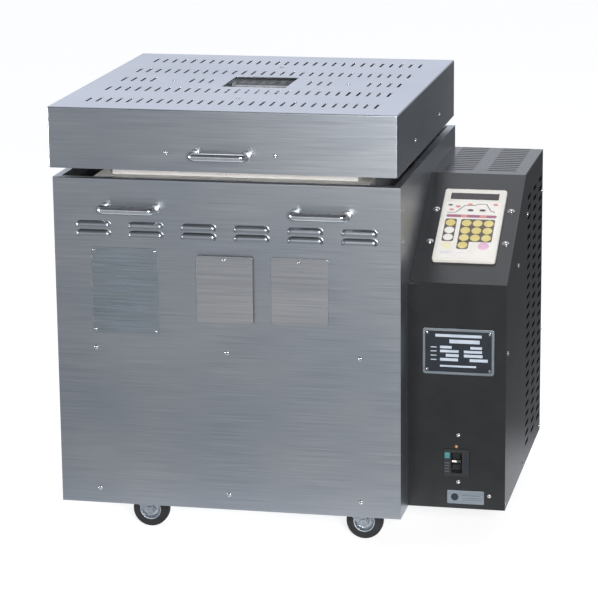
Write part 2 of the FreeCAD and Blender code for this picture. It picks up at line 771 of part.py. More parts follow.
def right_holes(name, lead_radius, probe_radius, start, length):
    """The holes along X for the element leads and the thermocouple."""
    drills = [cylinder(f"{name}_lead_{index}", start, lead_y, z, lead_radius, length, "right")
              for index, z in enumerate(levels)]
    drills.append(cylinder(name + "_probe", start, probe_y, probe_z, probe_radius, length,
                           "right"))
    return drills


def inner_casing():
    """Open-topped box of five steel sheets that holds the insulation and the bricks."""
    low = (board_low[0] - S.inner_sheet, board_low[1] - S.inner_sheet)
    high = (board_high[0] + S.inner_sheet, board_high[1] + S.inner_sheet)
    rim = brick_top - S.inner_lip
    floor = block("inner_floor", (*low, hearth_bottom - S.inner_sheet), (*high, hearth_bottom))
    front = block("inner_front", (*low, hearth_bottom), (high[0], board_low[1], rim))
    rear = block("inner_rear", (low[0], board_high[1], hearth_bottom), (*high, rim))
    left_side = block("inner_left", (low[0], board_low[1], hearth_bottom),
                      (board_low[0], board_high[1], rim))
    right_side = block("inner_right", (board_high[0], board_low[1], hearth_bottom),
                       (high[0], board_high[1], rim))
    front_drilled = cut("inner_front_drilled", front, tube_holes(
        "casing", S.tube_diameter / 2 + S.slip, low[1] - 1, S.inner_sheet + 2))
    right_drilled = cut("inner_right_drilled", right_side, right_holes(
        "casing", S.bushing_diameter / 2 + S.slip, S.probe_diameter / 2 + S.slip,
        board_high[0] - 1, S.inner_sheet + 2))
    sub_part(group("inner_sheets", [floor, front_drilled, rear, left_side, right_drilled]),
             "inner_casing")


def insulation():
    """Board under the floor bricks and four boards round the walls."""
    floor = block("floor_slab", (*board_low, hearth_bottom),
                  (*board_high, brick_bottom))
    sub_part(floor, "floor_insulation")
    z = brick_bottom
    height = brick_top - S.inner_lip - z
    long_side = board_high[0] - board_low[0]
    front_board = box("front_board", board_low[0], board_low[1], z, long_side, S.wall_board, height)
    rear_board = box("rear_board", board_low[0], board_high[1] - S.wall_board, z, long_side,
                     S.wall_board, height)
    left_board = box("left_board", board_low[0], block_front, z, S.wall_board, block_depth, height)
    right_board = box("right_board", block_width / 2, block_front, z, S.wall_board, block_depth,
                      height)
    drilled_front = cut("front_board_drilled", front_board, tube_holes(
        "board", S.tube_diameter / 2 + S.slip, board_low[1] - 1, S.wall_board + 2))
    drilled_right = cut("right_board_drilled", right_board, right_holes(
        "board", S.bushing_diameter / 2 + S.slip, S.probe_diameter / 2 + S.slip,
        block_width / 2 - 1, S.wall_board + 2))
    sub_part(group("wall_boards", [drilled_front, rear_board, left_board, drilled_right]),
             "wall_insulation")


def brick_lengths(run, course):
    """The two bricks of one wall, the whole one first in every other course."""
    short = run - S.brick_length
    return (S.brick_length, short) if course % 2 else (short, S.brick_length)


def groove_tools():
    """One flat block per level that cuts the grooves of all four walls at once."""
    tools = []
    half_width = S.chamber_width / 2 + S.groove_depth
    for index, z in enumerate(levels):
        tools.append(block(f"groove_{index}",
                           (-half_width, chamber_front - S.groove_depth, z - S.groove_height / 2),
                           (half_width, chamber_back + S.groove_depth, z + S.groove_height / 2)))
    return group("grooves", tools)


def wall_bricks():
    """Four walls laid as a pinwheel: a cut course beside the floor bricks, then three whole
    courses, grooved for the heating coils."""
    bricks = []
    thick = S.brick_thickness
    run_x = block_width - thick
    run_y = block_depth - thick
    half = block_width / 2
    z = brick_bottom
    for course, height in enumerate([S.brick_thickness] + [S.course_height] * COURSES):
        start_x = ZERO
        for length in brick_lengths(run_x, course):
            bricks.append(box("front_brick", -half + thick + start_x, block_front, z, length,
                              thick, height))
            bricks.append(box("rear_brick", half - thick - start_x - length,
                              block_front + block_depth - thick, z, length, thick, height))
            start_x = start_x + length
        start_y = ZERO
        for length in brick_lengths(run_y, course):
            bricks.append(box("right_brick", half - thick, block_front + thick + start_y, z,
                              thick, length, height))
            bricks.append(box("left_brick", -half,
                              block_front + block_depth - thick - start_y - length, z, thick,
                              length, height))
            start_y = start_y + length
        z = z + height
    drills = tube_holes("brick", S.tube_diameter / 2 + S.slip, block_front - 1, thick + 2)
    drills += right_holes("brick", S.lead_diameter / 2 + S.slip,
                          S.probe_diameter / 2 + S.slip, half - thick - 1, thick + 2)
    grooved = cut("grooved_bricks", group("plain_bricks", bricks), [groove_tools()])
    sub_part(cut("wall_bricks", grooved, drills), "wall_bricks")


def floor_bricks():
    """Rows of bricks between the walls, on which the ware's shelves stand."""
    bricks = []
    short = S.chamber_width - S.brick_length
    rows = 3
    for row in range(rows):
        y = chamber_front + S.chamber_depth / rows * row
        x = -S.chamber_width / 2
        for length in ((S.brick_length, short) if row % 2 else (short, S.brick_length)):
            bricks.append(box("floor_brick", x, y, brick_bottom, length,
                              S.chamber_depth / rows, S.brick_thickness))
            x = x + length
    sub_part(group("floor_brick_layer", bricks), "floor_bricks")


coil_offset = S.groove_depth - S.coil_clearance - S.coil_diameter / 2


def element_coils():
    """Six rings of heating coil, one in each groove, as the rods that their turns would fill."""
    rings = []
    radius = S.coil_diameter / 2
    x_high = S.chamber_width / 2 + coil_offset
    y_low = chamber_front - coil_offset
    y_high = chamber_back + coil_offset
    for index, level in enumerate(levels):
        z = level - S.groove_height / 2 + S.coil_clearance + radius
        runs = [cylinder("coil_run", -x_high - radius, y, z, radius, 2 * (x_high + radius),
                         "right") for y in (y_low, y_high)]
        runs += [cylinder("coil_run", x, y_low - radius, z, radius,
                          y_high - y_low + 2 * radius, "back") for x in (-x_high, x_high)]
        rings.append(fuse(f"coil_{index}", runs))
    sub_part(group("coil_rings", rings), "element_coils")


def element_leads():
    """A straight lead from each coil out through the right wall, with its clamp nut, and the
    porcelain bushings that carry the leads through the insulation."""
    leads, bushings = [], []
    start = S.chamber_width / 2 + coil_offset + S.coil_diameter / 2 + S.coil_clearance / 3
    end = block_width / 2 + S.lead_length
    nut = S.lead_diameter * 1.5
    bushing_start = block_width / 2 + S.coil_clearance
    bushing_end = inner_right + S.bushing_diameter
    for index, level in enumerate(levels):
        z = level - S.groove_height / 2 + S.coil_clearance + S.coil_diameter / 2
        rod = cylinder("lead_rod", start, lead_y, level, S.lead_diameter / 2, end - start, "right")
        clamp = cylinder("lead_nut", bushing_end + S.side_gap, lead_y, level, nut, nut, "right")
        leads.append(fuse(f"lead_{index}", [rod, clamp]))
        tube = cylinder("bushing_tube", bushing_start, lead_y, level, S.bushing_diameter / 2,
                        bushing_end - bushing_start, "right")
        bore = cylinder("bushing_bore", bushing_start - 1, lead_y, level,
                        S.lead_diameter / 2 + S.slip, bushing_end - bushing_start + 2, "right")
        bushings.append(cut(f"bushing_{index}", tube, [bore]))
    sub_part(group("leads", leads), "element_leads")
    sub_part(group("bushings", bushings), "lead_bushings")


def thermocouple():
    """Ceramic sheath through the right wall with its round connection head."""
    radius = S.probe_diameter / 2
    start = S.chamber_width / 2 - S.probe_reach
    head_start = inner_right
    sheath = cylinder("probe_sheath", start, probe_y, probe_z, radius, head_start - start, "right")
    head = cylinder("probe_head", head_start, probe_y, probe_z, radius * 3.5, radius * 6, "right")
    sub_part(fuse("probe", [sheath, head]), "thermocouple")


def sight_tubes():
    """Ceramic tubes from the chamber to the two ports in the front panel."""
    tubes = []
    start = S.tube_gap
    length = chamber_front - start
    for index, x in enumerate((S.left_port_x, S.right_port_x)):
        outer = cylinder("tube_outer", x, start, port_z, S.tube_diameter / 2, length, "back")
        bore = cylinder("tube_bore", x, start - 1, port_z, S.tube_bore / 2, length + 2, "back")
        tubes.append(cut(f"tube_{index}", outer, [bore]))
    sub_part(group("tubes", tubes), "sight_tubes")


def pull_handle(name, x, y, z):
    """A bar bent into a U, standing out to the front of a panel at y."""
    body = new_body(name, x, y, z)
    half = (S.handle_length - S.handle_bar) / 2
    reach = S.handle_reach - S.handle_bar / 2
    bend = S.handle_bend
    a, r, b = number(half), number(reach), number(bend)
    path = new_sketch(body, "XY_Plane")
    path.addGeometry([
        Part.LineSegment(Vector(-a, 0, 0), Vector(-a, b - r, 0)),
        Part.ArcOfCircle(Part.Circle(Vector(b - a, b - r, 0), Vector(0, 0, 1), b),
                         math.pi, 1.5 * math.pi),
        Part.LineSegment(Vector(b - a, -r, 0), Vector(a - b, -r, 0)),
        Part.ArcOfCircle(Part.Circle(Vector(a - b, b - r, 0), Vector(0, 0, 1), b),
                         1.5 * math.pi, 2 * math.pi),
        Part.LineSegment(Vector(a, b - r, 0), Vector(a, 0, 0))], False)
    for tangent in ((0, 2, 1, 1), (1, 2, 2, 1), (2, 2, 3, 1), (3, 2, 4, 1)):
        path.addConstraint(Sketcher.Constraint("Tangent", *tangent))
    path.addConstraint(Sketcher.Constraint("Vertical", 0))
    path.addConstraint(Sketcher.Constraint("Vertical", 4))
    path.addConstraint(Sketcher.Constraint("Horizontal", 2))
    path.addConstraint(Sketcher.Constraint("Equal", 1, 3))
    measure(path, "Radius", (1,), bend)
    measure(path, "DistanceX", (-1, 1, 0, 1), -half)
    measure(path, "DistanceX", (-1, 1, 4, 2), half)
    measure(path, "DistanceY", (-1, 1, 0, 1), 0)
    measure(path, "DistanceY", (-1, 1, 4, 2), 0)
    measure(path, "DistanceY", (-1, 1, 2, 1), -reach)
    section = new_sketch(body, "XZ_Plane")
    section.addGeometry(Part.Circle(Vector(-a, 0, 0), Vector(0, 0, 1), r / 5), False)
    measure(section, "Radius", (0,), S.handle_bar / 2)
    measure(section, "DistanceX", (-1, 1, 0, 3), -half)
    measure(section, "DistanceY", (-1, 1, 0, 3), 0)
    bar = body.newObject("PartDesign::AdditivePipe", name + "_bar")
    bar.Profile = section
    bar.Spine = path
    for x in (-half, half):
        foot = body.newObject("PartDesign::AdditiveCylinder", name + "_foot")
        bind(foot, "Radius", S.handle_foot)
        bind(foot, "Height", S.handle_foot / 3)
        foot.Placement = FreeCAD.Placement(Vector(), FACING["front"])
        foot.setExpression("Placement.Base.x", x.text)
    return body


def handles():
    z = top - S.body_handle_down
    pair = [pull_handle("left_handle", -S.body_handle_x, ZERO, z),
            pull_handle("right_handle", S.body_handle_x, ZERO, z)]
    sub_part(group("handle_pair", pair), "body_handles")
    sub_part(pull_handle("lid_pull", ZERO, lid_front, lid_bottom + S.lid_handle_height),
             "lid_handle")


def port_cover(label, x, standoff):
    """A plate that swings about a pivot near its upper edge, with a bush behind it."""
    body = new_body(label + "_body", x, -standoff, pivot_z)
    low = (-S.cover_width / 2, -S.cover_sheet, S.cover_drop - S.cover_height)
    high = (S.cover_width / 2, ZERO, S.cover_drop)
    plate = body_box(body, "Additive", low, high)
    fillet(body, plate, along("y"), S.cover_corner)
    drill = hole(label + "_pivot_hole", x, -standoff - S.cover_sheet, pivot_z, "front",
                 S.screw_shank + S.running_gap, S.cover_sheet)
    sub_part(cut(label + "_plate", body, [drill]), label)


def plate_fixings():
    """The pivot rivets of the port covers with their bushes, and the rivets of the bare plate."""
    rivets = []
    for index, (x, standoff) in enumerate(((S.left_port_x, S.left_cover_standoff),
                                           (S.right_port_x, S.right_cover_standoff))):
        face = -standoff - S.cover_sheet - S.side_gap / 2
        pivot = screw(f"pivot_{index}", x, face, pivot_z, "front", S.screw_head * 0.75,
                      -face + S.panel_sheet)
        if index == 0:
            bush = cylinder("pivot_bush", x, ZERO, pivot_z, S.screw_shank * 2,
                            standoff - S.side_gap / 2, "front")
            pivot = fuse("pivot_with_bush", [pivot, bush])
        rivets.append(pivot)
    inset = S.label_rivet_inset
    label_low = (left + S.label_left, top - S.label_down - S.label_tall)
    for x in (label_low[0] + inset, label_low[0] + S.label_width - inset):
        for z in (label_low[1] + inset, label_low[1] + S.label_tall - inset):
            head = doc.addObject("Part::Cone", "rivet")
            bind(head, "Radius1", S.rivet_head)
            bind(head, "Radius2", S.rivet_head * 0.5)
            bind(head, "Height", S.rivet_head * 0.5)
            rivets.append(place(head, x, -S.plate_sheet, z, "front"))
    sub_part(group("rivets", rivets), "plate_rivets")


def label_plate():
    """Bare riveted plate at the upper left of the front."""
    plate = box("label", left + S.label_left, -S.plate_sheet,
                top - S.label_down - S.label_tall, S.label_width, S.plate_sheet, S.label_tall)
    sub_part(plate, "label_plate")


def casing_screws():
    places = front_screw_places + rear_screw_places + left_screw_places + right_screw_places
    sub_part(group("screws_of_casing", screws("casing_screw", places, S.screw_head,
                                              casing_screw_depth)), "casing_screws")


def build_casing():
    front_panel()
    rear_panel()
    side_panel("left_panel", left, 1, left_screw_places)
    side_panel("right_panel", right, -1, right_screw_places)
    base_frame()
    frame_uprights()
    inner_casing()
    insulation()
    wall_bricks()
    floor_bricks()
    element_coils()
    element_leads()
    thermocouple()
    sight_tubes()
    handles()
    label_plate()
    casing_screws()
    port_cover("left_port_cover", S.left_port_x, S.left_cover_standoff)
    port_cover("right_port_cover", S.right_port_x, S.right_cover_standoff)
    plate_fixings()


# Where the lid's screws go.
lid_side_screw_y = (lid_middle - S.lid_screw_y, lid_middle + S.lid_screw_y)
lid_screw_z = lid_bottom + S.lid_screw_height
lid_front_screws = [(x, lid_front, lid_screw_z, "front") for x in (-S.lid_screw_x, S.lid_screw_x)]
lid_rear_screws = [(x, lid_back, lid_screw_z, "back") for x in (-S.lid_screw_x, S.lid_screw_x)]
lid_side_screws = [(x, y, lid_screw_z, facing) for x, facing in ((lid_left, "left"),
                                                                 (lid_right, "right"))
                   for y in lid_side_screw_y]
lid_top_screws = [(x, lid_middle, lid_top, "up") for x in (-S.top_screw_x, S.top_screw_x)]
lid_top_screws += [(ZERO, lid_middle + y, lid_top, "up")
                   for y in (-S.top_screw_y, S.top_screw_y)]
SLOTS = 29


def lid_casing():
    """Folded stainless lid, open below, with five rows of slots round a square opening."""
    width, depth = lid_right - lid_left, lid_back - lid_front
    body = new_body("lid_shell", ZERO, lid_middle, lid_bottom)
    skin = S.panel_sheet
    solid = body_box(body, "Additive", (-width / 2, -depth / 2, ZERO),
                     (width / 2, depth / 2, S.lid_height))
    lid_height = S.lid_height.value
    fillet(body, solid, lambda middle, direction: abs(direction.z) > 0.99
           or middle.z > lid_height - 0.01, S.fold_radius)
    body_box(body, "Subtractive", (-width / 2 + skin, -depth / 2 + skin, -S.lid_gap),
             (width / 2 - skin, depth / 2 - skin, S.lid_height - skin))
    z = lid_top - 3 * skin
    tools = [box("top_opening", -S.opening_width / 2, lid_middle - S.opening_depth / 2, z,
                 S.opening_width, S.opening_depth, 4 * skin)]
    first = -S.slot_pitch * (SLOTS - 1) / 2
    rows = [(y, 0, SLOTS) for y in (-S.outer_row, -S.inner_row, S.inner_row, S.outer_row)]
    rows += [(ZERO, start, count) for start, count in ((0, 4), (7, 3), (19, 3), (25, 4))]
    for y, start, count in rows:
        low = (first + S.slot_pitch * start - S.slot_width / 2,
               lid_middle + y - S.slot_length / 2, z)
        tools.append(slot_row("lid_slots", low, (S.slot_width, S.slot_length, 4 * skin),
                              "X_Axis", S.slot_pitch, count))
    places = lid_front_screws + lid_rear_screws + lid_side_screws + lid_top_screws
    sub_part(cut("lid_cover", body, tools + screw_holes("lid", places, skin)), "lid_casing")


def lid_tray():
    """Steel tray over the lid's bricks, with its straps and posts to the lid casing and the
    two guides of the damper."""
    skin = S.panel_sheet
    low = (-block_width / 2 - S.slip - skin, block_front - S.slip - skin)
    high = (block_width / 2 + S.slip + skin, block_front + block_depth + S.slip + skin)
    outer = block("tray_outer", (*low, tray_top - skin - S.tray_skirt), (*high, tray_top))
    hollow = block("tray_hollow", (low[0] + skin, low[1] + skin, tray_top - skin - S.tray_skirt - 1),
                   (high[0] - skin, high[1] - skin, tray_top - skin))
    vent = cylinder("tray_vent", S.vent_x, chamber_middle, tray_top - 2 * skin,
                    S.vent_bore / 2 + S.vent_wall + S.slip, 3 * skin)
    pieces = [cut("tray_pan", outer, [hollow, vent])]
    half = S.strap_width / 2
    strap = 2 * skin
    z = lid_screw_z
    for x in (-S.lid_screw_x, S.lid_screw_x):
        pieces.append(block("front_strap", (x - half, lid_front + skin + S.clip_nut, tray_strap_z),
                            (x + half, low[1] + skin, tray_strap_z + strap)))
        pieces.append(block("front_foot", (x - half, lid_front + skin + S.clip_nut, z - half),
                            (x + half, lid_front + skin + S.clip_nut + strap, tray_strap_z + strap)))
        pieces.append(block("rear_strap", (x - half, high[1] - skin, tray_strap_z),
                            (x + half, lid_back - skin - S.clip_nut, tray_strap_z + strap)))
        pieces.append(block("rear_foot", (x - half, lid_back - skin - S.clip_nut - strap, z - half),
                            (x + half, lid_back - skin - S.clip_nut, tray_strap_z + strap)))
    for y in lid_side_screw_y:
        pieces.append(block("left_strap", (lid_left + skin + S.clip_nut, y - half, tray_strap_z),
                            (low[0] + skin, y + half, tray_strap_z + strap)))
        pieces.append(block("left_foot", (lid_left + skin + S.clip_nut, y - half, z - half),
                            (lid_left + skin + S.clip_nut + strap, y + half, tray_strap_z + strap)))
        pieces.append(block("right_strap", (high[0] - skin, y - half, tray_strap_z),
                            (lid_right - skin - S.clip_nut, y + half, tray_strap_z + strap)))
        pieces.append(block("right_foot", (lid_right - skin - S.clip_nut - strap, y - half, z - half),
                            (lid_right - skin - S.clip_nut, y + half, tray_strap_z + strap)))
    for x, y, _, _ in lid_top_screws:
        pieces.append(cylinder("tray_post", x, y, tray_top - skin / 2, S.screw_head,
                               lid_top - skin - S.clip_nut - tray_top + skin / 2))
    guide_length = S.damper_length + 2 * S.damper_open + S.vent_bore
    lip = S.damper_gap * 2 + S.damper_sheet
    for side in (-1, 1):
        inner = chamber_middle + side * (S.damper_width / 2 + S.damper_gap)
        outer_y = inner + side * S.guide_width
        edge = inner - side * S.guide_width / 2
        low_y, high_y = (inner, outer_y) if side > 0 else (outer_y, inner)
        lip_low, lip_high = (edge, outer_y) if side > 0 else (outer_y, edge)
        x = S.vent_x - S.damper_open - S.damper_length - S.guide_width
        pieces.append(block("guide_rail", (x, low_y, tray_top - skin / 2),
                            (x + guide_length, high_y, tray_top + lip)))
        pieces.append(block("guide_lip", (x, lip_low, tray_top + lip),
                            (x + guide_length, lip_high, tray_top + lip + skin)))
    sub_part(fuse("tray", pieces), "lid_tray")


tray_strap_z = tray_top - S.tray_skirt / 2


def lid_lining():
    """Lid bricks, the fibre blanket over them and the ceramic sleeve of the vent."""
    z = brick_top + S.lid_seat
    radius = S.vent_bore / 2 + S.vent_wall
    bricks = []
    rows = 2
    for row in range(rows):
        y = block_front + block_depth / rows * row
        x = -block_width / 2
        short = block_width - S.brick_length
        for length in ((S.brick_length, short) if row else (short, S.brick_length)):
            bricks.append(box("lid_brick", x, y, z, length, block_depth / rows,
                              S.brick_thickness))
            x = x + length
    hole_through = cylinder("lid_vent_hole", S.vent_x, chamber_middle, z - 1, radius + S.slip,
                            S.brick_thickness + S.lid_blanket + 2)
    sub_part(cut("lid_brick_layer", group("lid_brick_rows", bricks), [hole_through]),
             "lid_bricks")
    blanket = box("blanket_sheet", -block_width / 2, block_front, z + S.brick_thickness,
                  block_width, block_depth, S.lid_blanket)
    sub_part(cut("blanket", blanket, [hole_through]), "lid_blanket")
    sleeve = cylinder("sleeve_outer", S.vent_x, chamber_middle, z, radius,
                      tray_top - S.damper_gap - z + S.damper_gap)
    bore = cylinder("sleeve_bore", S.vent_x, chamber_middle, z - 1, S.vent_bore / 2,
                    tray_top - z + 2)
    sub_part(cut("sleeve", sleeve, [bore]), "vent_sleeve")


def damper():
    """Sliding plate over the vent, drawn open to the left, with an upturned tab."""
    body = new_body("damper", S.vent_x - S.damper_open, chamber_middle, tray_top + S.damper_gap)
    body_box(body, "Additive", (-S.damper_length, -S.damper_width / 2, ZERO),
             (ZERO, S.damper_width / 2, S.damper_sheet))
    tab = S.damper_width / 2 - S.guide_width / 2 - 2 * S.damper_sheet
    body_box(body, "Additive", (-S.damper_length, tab - S.damper_tab_width, ZERO),
             (-S.damper_length + S.damper_sheet, tab, S.damper_tab))
    sub_part(body, "damper_plate")


def lid_screws():
    places = lid_front_screws + lid_rear_screws + lid_side_screws + lid_top_screws
    sub_part(group("screws_of_lid", screws("lid_screw", places, S.screw_head,
                                           S.panel_sheet + S.clip_nut)), "lid_screws")


def hinge_web(name, x, width, points):
    """A plate cut to an outline of (y, z) points, standing across X."""
    body = new_body(name, x, ZERO, ZERO)
    pad(body, outline(body, "YZ_Plane", points), width)
    return body


def hinges():
    """Two rear hinges: brackets on the casing, arms on the lid and a pin through each."""
    brackets, arms, pins = [], [], []
    radius, thick, half = S.knuckle_radius, S.hinge_plate, S.hinge_width / 2
    bore = S.pin_radius + S.running_gap
    knuckle = S.bracket_knuckle / 2
    outer = half - knuckle - S.side_gap
    for side in (-1, 1):
        x = side * S.hinge_x
        leaf = block("bracket_leaf", (x - half, back, top - S.hinge_width),
                     (x + half, back + thick, top - S.fold_radius))
        webs = [hinge_web("bracket_web", low_x, thick, [
            (back + thick / 2, top - S.hinge_width / 2), (back + thick, top - S.hinge_width / 2),
            (hinge_y + radius * 0.8, hinge_z - radius * 0.6), (hinge_y, hinge_z),
            (hinge_y - radius * 0.6, hinge_z), (back + thick / 2, top - radius)])
            for low_x in (x - knuckle, x + knuckle - thick)]
        barrel = cylinder("bracket_barrel", x - knuckle, hinge_y, hinge_z, radius, 2 * knuckle,
                          "right")
        pin_hole = cylinder("bracket_bore", x - knuckle - 1, hinge_y, hinge_z, bore,
                            2 * knuckle + 2, "right")
        brackets.append(cut("hinge_bracket", fuse("bracket_solid", [leaf, barrel] + webs),
                            [pin_hole]))
        pieces = [block("arm_leaf", (x - half, lid_back, lid_bottom + radius),
                        (x + half, lid_back + thick, lid_bottom + S.hinge_width))]
        for web_x in (x - half, x + half - thick):
            pieces.append(hinge_web("arm_web", web_x, thick, [
                (lid_back + thick / 2, lid_bottom + radius), (hinge_y - radius * 0.8, hinge_z),
                (hinge_y, hinge_z - radius * 0.9), (heel_y, heel_z),
                (hinge_y + radius * 0.9, hinge_z),
                (hinge_y + radius * 0.7, hinge_z + radius * 0.7),
                (lid_back + thick, lid_bottom + S.hinge_width * 0.75),
                (lid_back + thick / 2, lid_bottom + S.hinge_width * 0.75)]))
        for low_x in (x - half, x + knuckle + S.side_gap):
            pieces.append(cylinder("arm_barrel", low_x, hinge_y, hinge_z, radius, outer, "right"))
        arm_hole = cylinder("arm_bore", x - half - 1, hinge_y, hinge_z, bore,
                            S.hinge_width + 2, "right")
        arms.append(cut("hinge_arm", fuse("arm_solid", pieces), [arm_hole]))
        head = S.pin_radius * 1.5
        shaft = cylinder("pin_shaft", x - half, hinge_y, hinge_z, S.pin_radius,
                         S.hinge_width, "right")
        heads = [cylinder("pin_head", low_x, hinge_y, hinge_z, head, S.pin_radius / 2, "right")
                 for low_x in (x - half - S.pin_radius / 2, x + half)]
        pins.append(fuse("hinge_pin", [shaft] + heads))
    sub_part(group("bracket_pair", brackets), "hinge_brackets")
    sub_part(group("arm_pair", arms), "lid_hinge_arms")
    sub_part(group("pin_pair", pins), "hinge_pins")


def build_lid():
    lid_casing()
    lid_tray()
    lid_lining()
    damper()
    lid_screws()
    hinges()


caster_places = [("front_left", -S.caster_x, S.caster_inset),
                 ("front_right", S.caster_x, S.caster_inset),
                 ("rear_left", -S.caster_x, back - S.caster_inset),
                 ("rear_right", S.caster_x, back - S.caster_inset)]
plate_bottom = frame_bottom - S.fork_steel
race_bottom = plate_bottom - S.race_height
fork_upper = race_bottom - S.side_gap
fork_lower = fork_upper - S.fork_steel


def caster_plates():
    """Top plate of each caster with its upper race and kingpin."""
    plates = []
    half = S.caster_plate / 2
    pin_end = fork_lower - S.side_gap - S.fork_steel
    for name, x, y in caster_places:
        plates.append(fuse(name + "_plate", [
            box("caster_top", x - half, y - half, plate_bottom, S.caster_plate, S.caster_plate,
                S.fork_steel),
            cylinder("caster_race", x, y, race_bottom, S.race_radius, S.race_height),
            cylinder("kingpin", x, y, pin_end, S.kingpin_radius, race_bottom - pin_end),
            cylinder("kingpin_head", x, y, pin_end, S.kingpin_radius * 1.6, S.fork_steel)]))
    sub_part(group("caster_tops", plates), "caster_plates")


def caster_fork(name, x, y):
    """Pressed fork: a top with two cheeks that reach back to the axle, and the axle rivet."""
    half_gap = S.fork_gap / 2
    steel = S.fork_steel
    half_top = S.fork_top / 2
    axle_z = S.wheel_radius
    deck = box(name + "_deck", x - half_top, y - half_gap - steel, fork_lower, S.fork_top,
               2 * (half_gap + steel), steel)
    deck_hole = cylinder(name + "_deck_hole", x, y, fork_lower - 1,
                         S.kingpin_radius + S.running_gap, steel + 2)
    pieces = [cut(name + "_drilled", deck, [deck_hole])]
    for low_y in (-half_gap - steel, half_gap + 0):
        cheek = new_body(name + "_cheek", x, y + low_y, ZERO)
        pad(cheek, outline(cheek, "XZ_Plane", [
            (-half_top, fork_lower + steel), (half_top, fork_lower + steel),
            (half_top, fork_lower), (S.caster_trail + S.hub_boss, axle_z + S.hub_boss / 2),
            (S.caster_trail + S.hub_boss, axle_z - S.hub_boss / 2),
            (S.caster_trail + S.hub_boss / 2, axle_z - S.hub_boss),
            (S.caster_trail - S.hub_boss / 2, axle_z - S.hub_boss),
            (S.caster_trail - S.hub_boss, axle_z - S.hub_boss / 2),
            (-half_top, fork_lower - steel)]), steel, away=True)
        pieces.append(cheek)
    axle_x = x + S.caster_trail
    half_axle = half_gap + 2 * steel
    pieces.append(cylinder(name + "_axle", axle_x, y - half_axle, axle_z, S.axle_radius,
                           2 * half_axle, "back"))
    for low_y in (-half_axle, half_gap + steel):
        pieces.append(cylinder(name + "_nut", axle_x, y + low_y, axle_z, S.axle_radius * 1.6,
                               steel, "back"))
    sub_part(fuse(name, pieces), name)


def caster_wheel(name, x, y):
    """Rubber tyre on a pressed hub with a boss."""
    axle_x = x + S.caster_trail
    radius, bore, half = S.wheel_radius, S.tyre_bore, S.wheel_width / 2
    crown = S.wheel_width / 5
    tyre = new_body("tyre_" + name, axle_x, y, S.wheel_radius)
    revolve(tyre, outline(tyre, "XY_Plane", [
        (bore, -half), (radius - crown, -half), (radius - crown * 0.3, -half + crown * 0.3),
        (radius, -half + crown), (radius, half - crown),
        (radius - crown * 0.3, half - crown * 0.3), (radius - crown, half), (bore, half)]))
    sub_part(tyre, "tyre_" + name)
    hub = new_body("hub_" + name, axle_x, y, S.wheel_radius)
    inner, rim = S.axle_radius + S.running_gap, bore - S.running_gap
    boss = S.fork_gap / 2 - S.side_gap
    web = S.hub_web / 2
    lip = rim - S.hub_web / 2
    revolve(hub, outline(hub, "XY_Plane", [
        (inner, -boss), (S.hub_boss, -boss), (S.hub_boss, -web), (lip, -web), (lip, -half),
        (rim, -half), (rim, half), (lip, half), (lip, web), (S.hub_boss, web),
        (S.hub_boss, boss), (inner, boss)]))
    sub_part(hub, "hub_" + name)


def build_casters():
    caster_plates()
    for name, x, y in caster_places:
        caster_fork("fork_" + name, x, y)
        caster_wheel(name, x, y)


def box_outline(body, inset=0):
    """The control box's side view, a vertical front, a slope and a flat top."""
    return outline(body, "YZ_Plane", [
        (0, 0), (0, S.box_front_height), (S.slope_run, S.box_front_height + S.slope_rise),
        (S.box_depth, S.box_front_height + S.slope_rise), (S.box_depth, 0)])


box_inner_left = box_left + S.box_sheet
box_inner_right = box_right - S.box_sheet

# Side screws of the control box, behind its front and above its lower edge.
edge = S.box_screw_inset
upper_screw = S.box_front_height + S.slope_rise - 8.5 * edge
side_screws = ((edge, edge), (S.box_depth / 2, edge), (S.box_depth - edge, edge),
               (2.5 * edge, S.box_front_height * 0.69), (S.box_depth - edge,
                                                         S.box_front_height / 2),
               (S.slope_run * 0.62, S.box_front_height), (S.slope_run + 3 * edge, upper_screw),
               (S.box_depth - edge, upper_screw))


def control_cover():
    """One folded sheet: front, slope and top, with the vent slots and the cut-outs."""
    body = new_body("cover_sheet", box_inner_left, box_front, bottom)
    skin = S.box_sheet
    fold = S.box_front_height
    ridge_z = fold + S.slope_rise
    lower = skin * (1 - sine(slope)) / cosine(slope)
    upper = skin * (1 - cosine(slope)) / sine(slope)
    pad(body, outline(body, "YZ_Plane", [
        (0, 0), (0, fold), (S.slope_run, ridge_z), (S.box_depth, ridge_z),
        (S.box_depth, ridge_z - skin), (S.slope_run + upper, ridge_z - skin),
        (skin, fold - lower), (skin, 0)]), box_inner_right - box_inner_left)
    rows = 13
    first = box_back - S.top_slot_last - S.top_slot_width - S.top_slot_pitch * (rows - 1)
    columns = [slot_row("top_slots", (box_left + S.top_slot_inset + S.top_column_pitch * column,
                                      first, box_top - 2 * skin),
                        (S.top_slot_length, S.top_slot_width, 4 * skin), "Y_Axis",
                        S.top_slot_pitch, rows)
               for column in range(2)]
    breaker = block("breaker_cutout",
                    (box_left + S.breaker_left - S.slip, box_front - 1,
                     bottom + S.breaker_height - S.slip),
                    (box_left + S.breaker_left + S.breaker_width + S.slip, box_front + skin + 1,
                     bottom + S.breaker_height + S.breaker_tall + S.slip))
    rim = S.panel_rim - S.slip
    panel = box("panel_cutout", ZERO, ZERO, ZERO, S.panel_width - 2 * rim,
                S.panel_tall - 2 * rim, 4 * skin)
    place_on_slope(panel, S.panel_left + rim, S.panel_up + rim, -2 * skin)
    tools = [breaker, panel] + columns + screw_holes("cover", cover_screw_places, skin)
    for index, (x, up) in enumerate(controller_screw_places):
        tool = cylinder(f"controller_hole_{index}", ZERO, ZERO, ZERO,
                        S.screw_shank + S.slip, 4 * skin)
        tools.append(place_on_slope(tool, x, up, -2 * skin))
    sub_part(cut("control_front", body, tools), "control_cover")


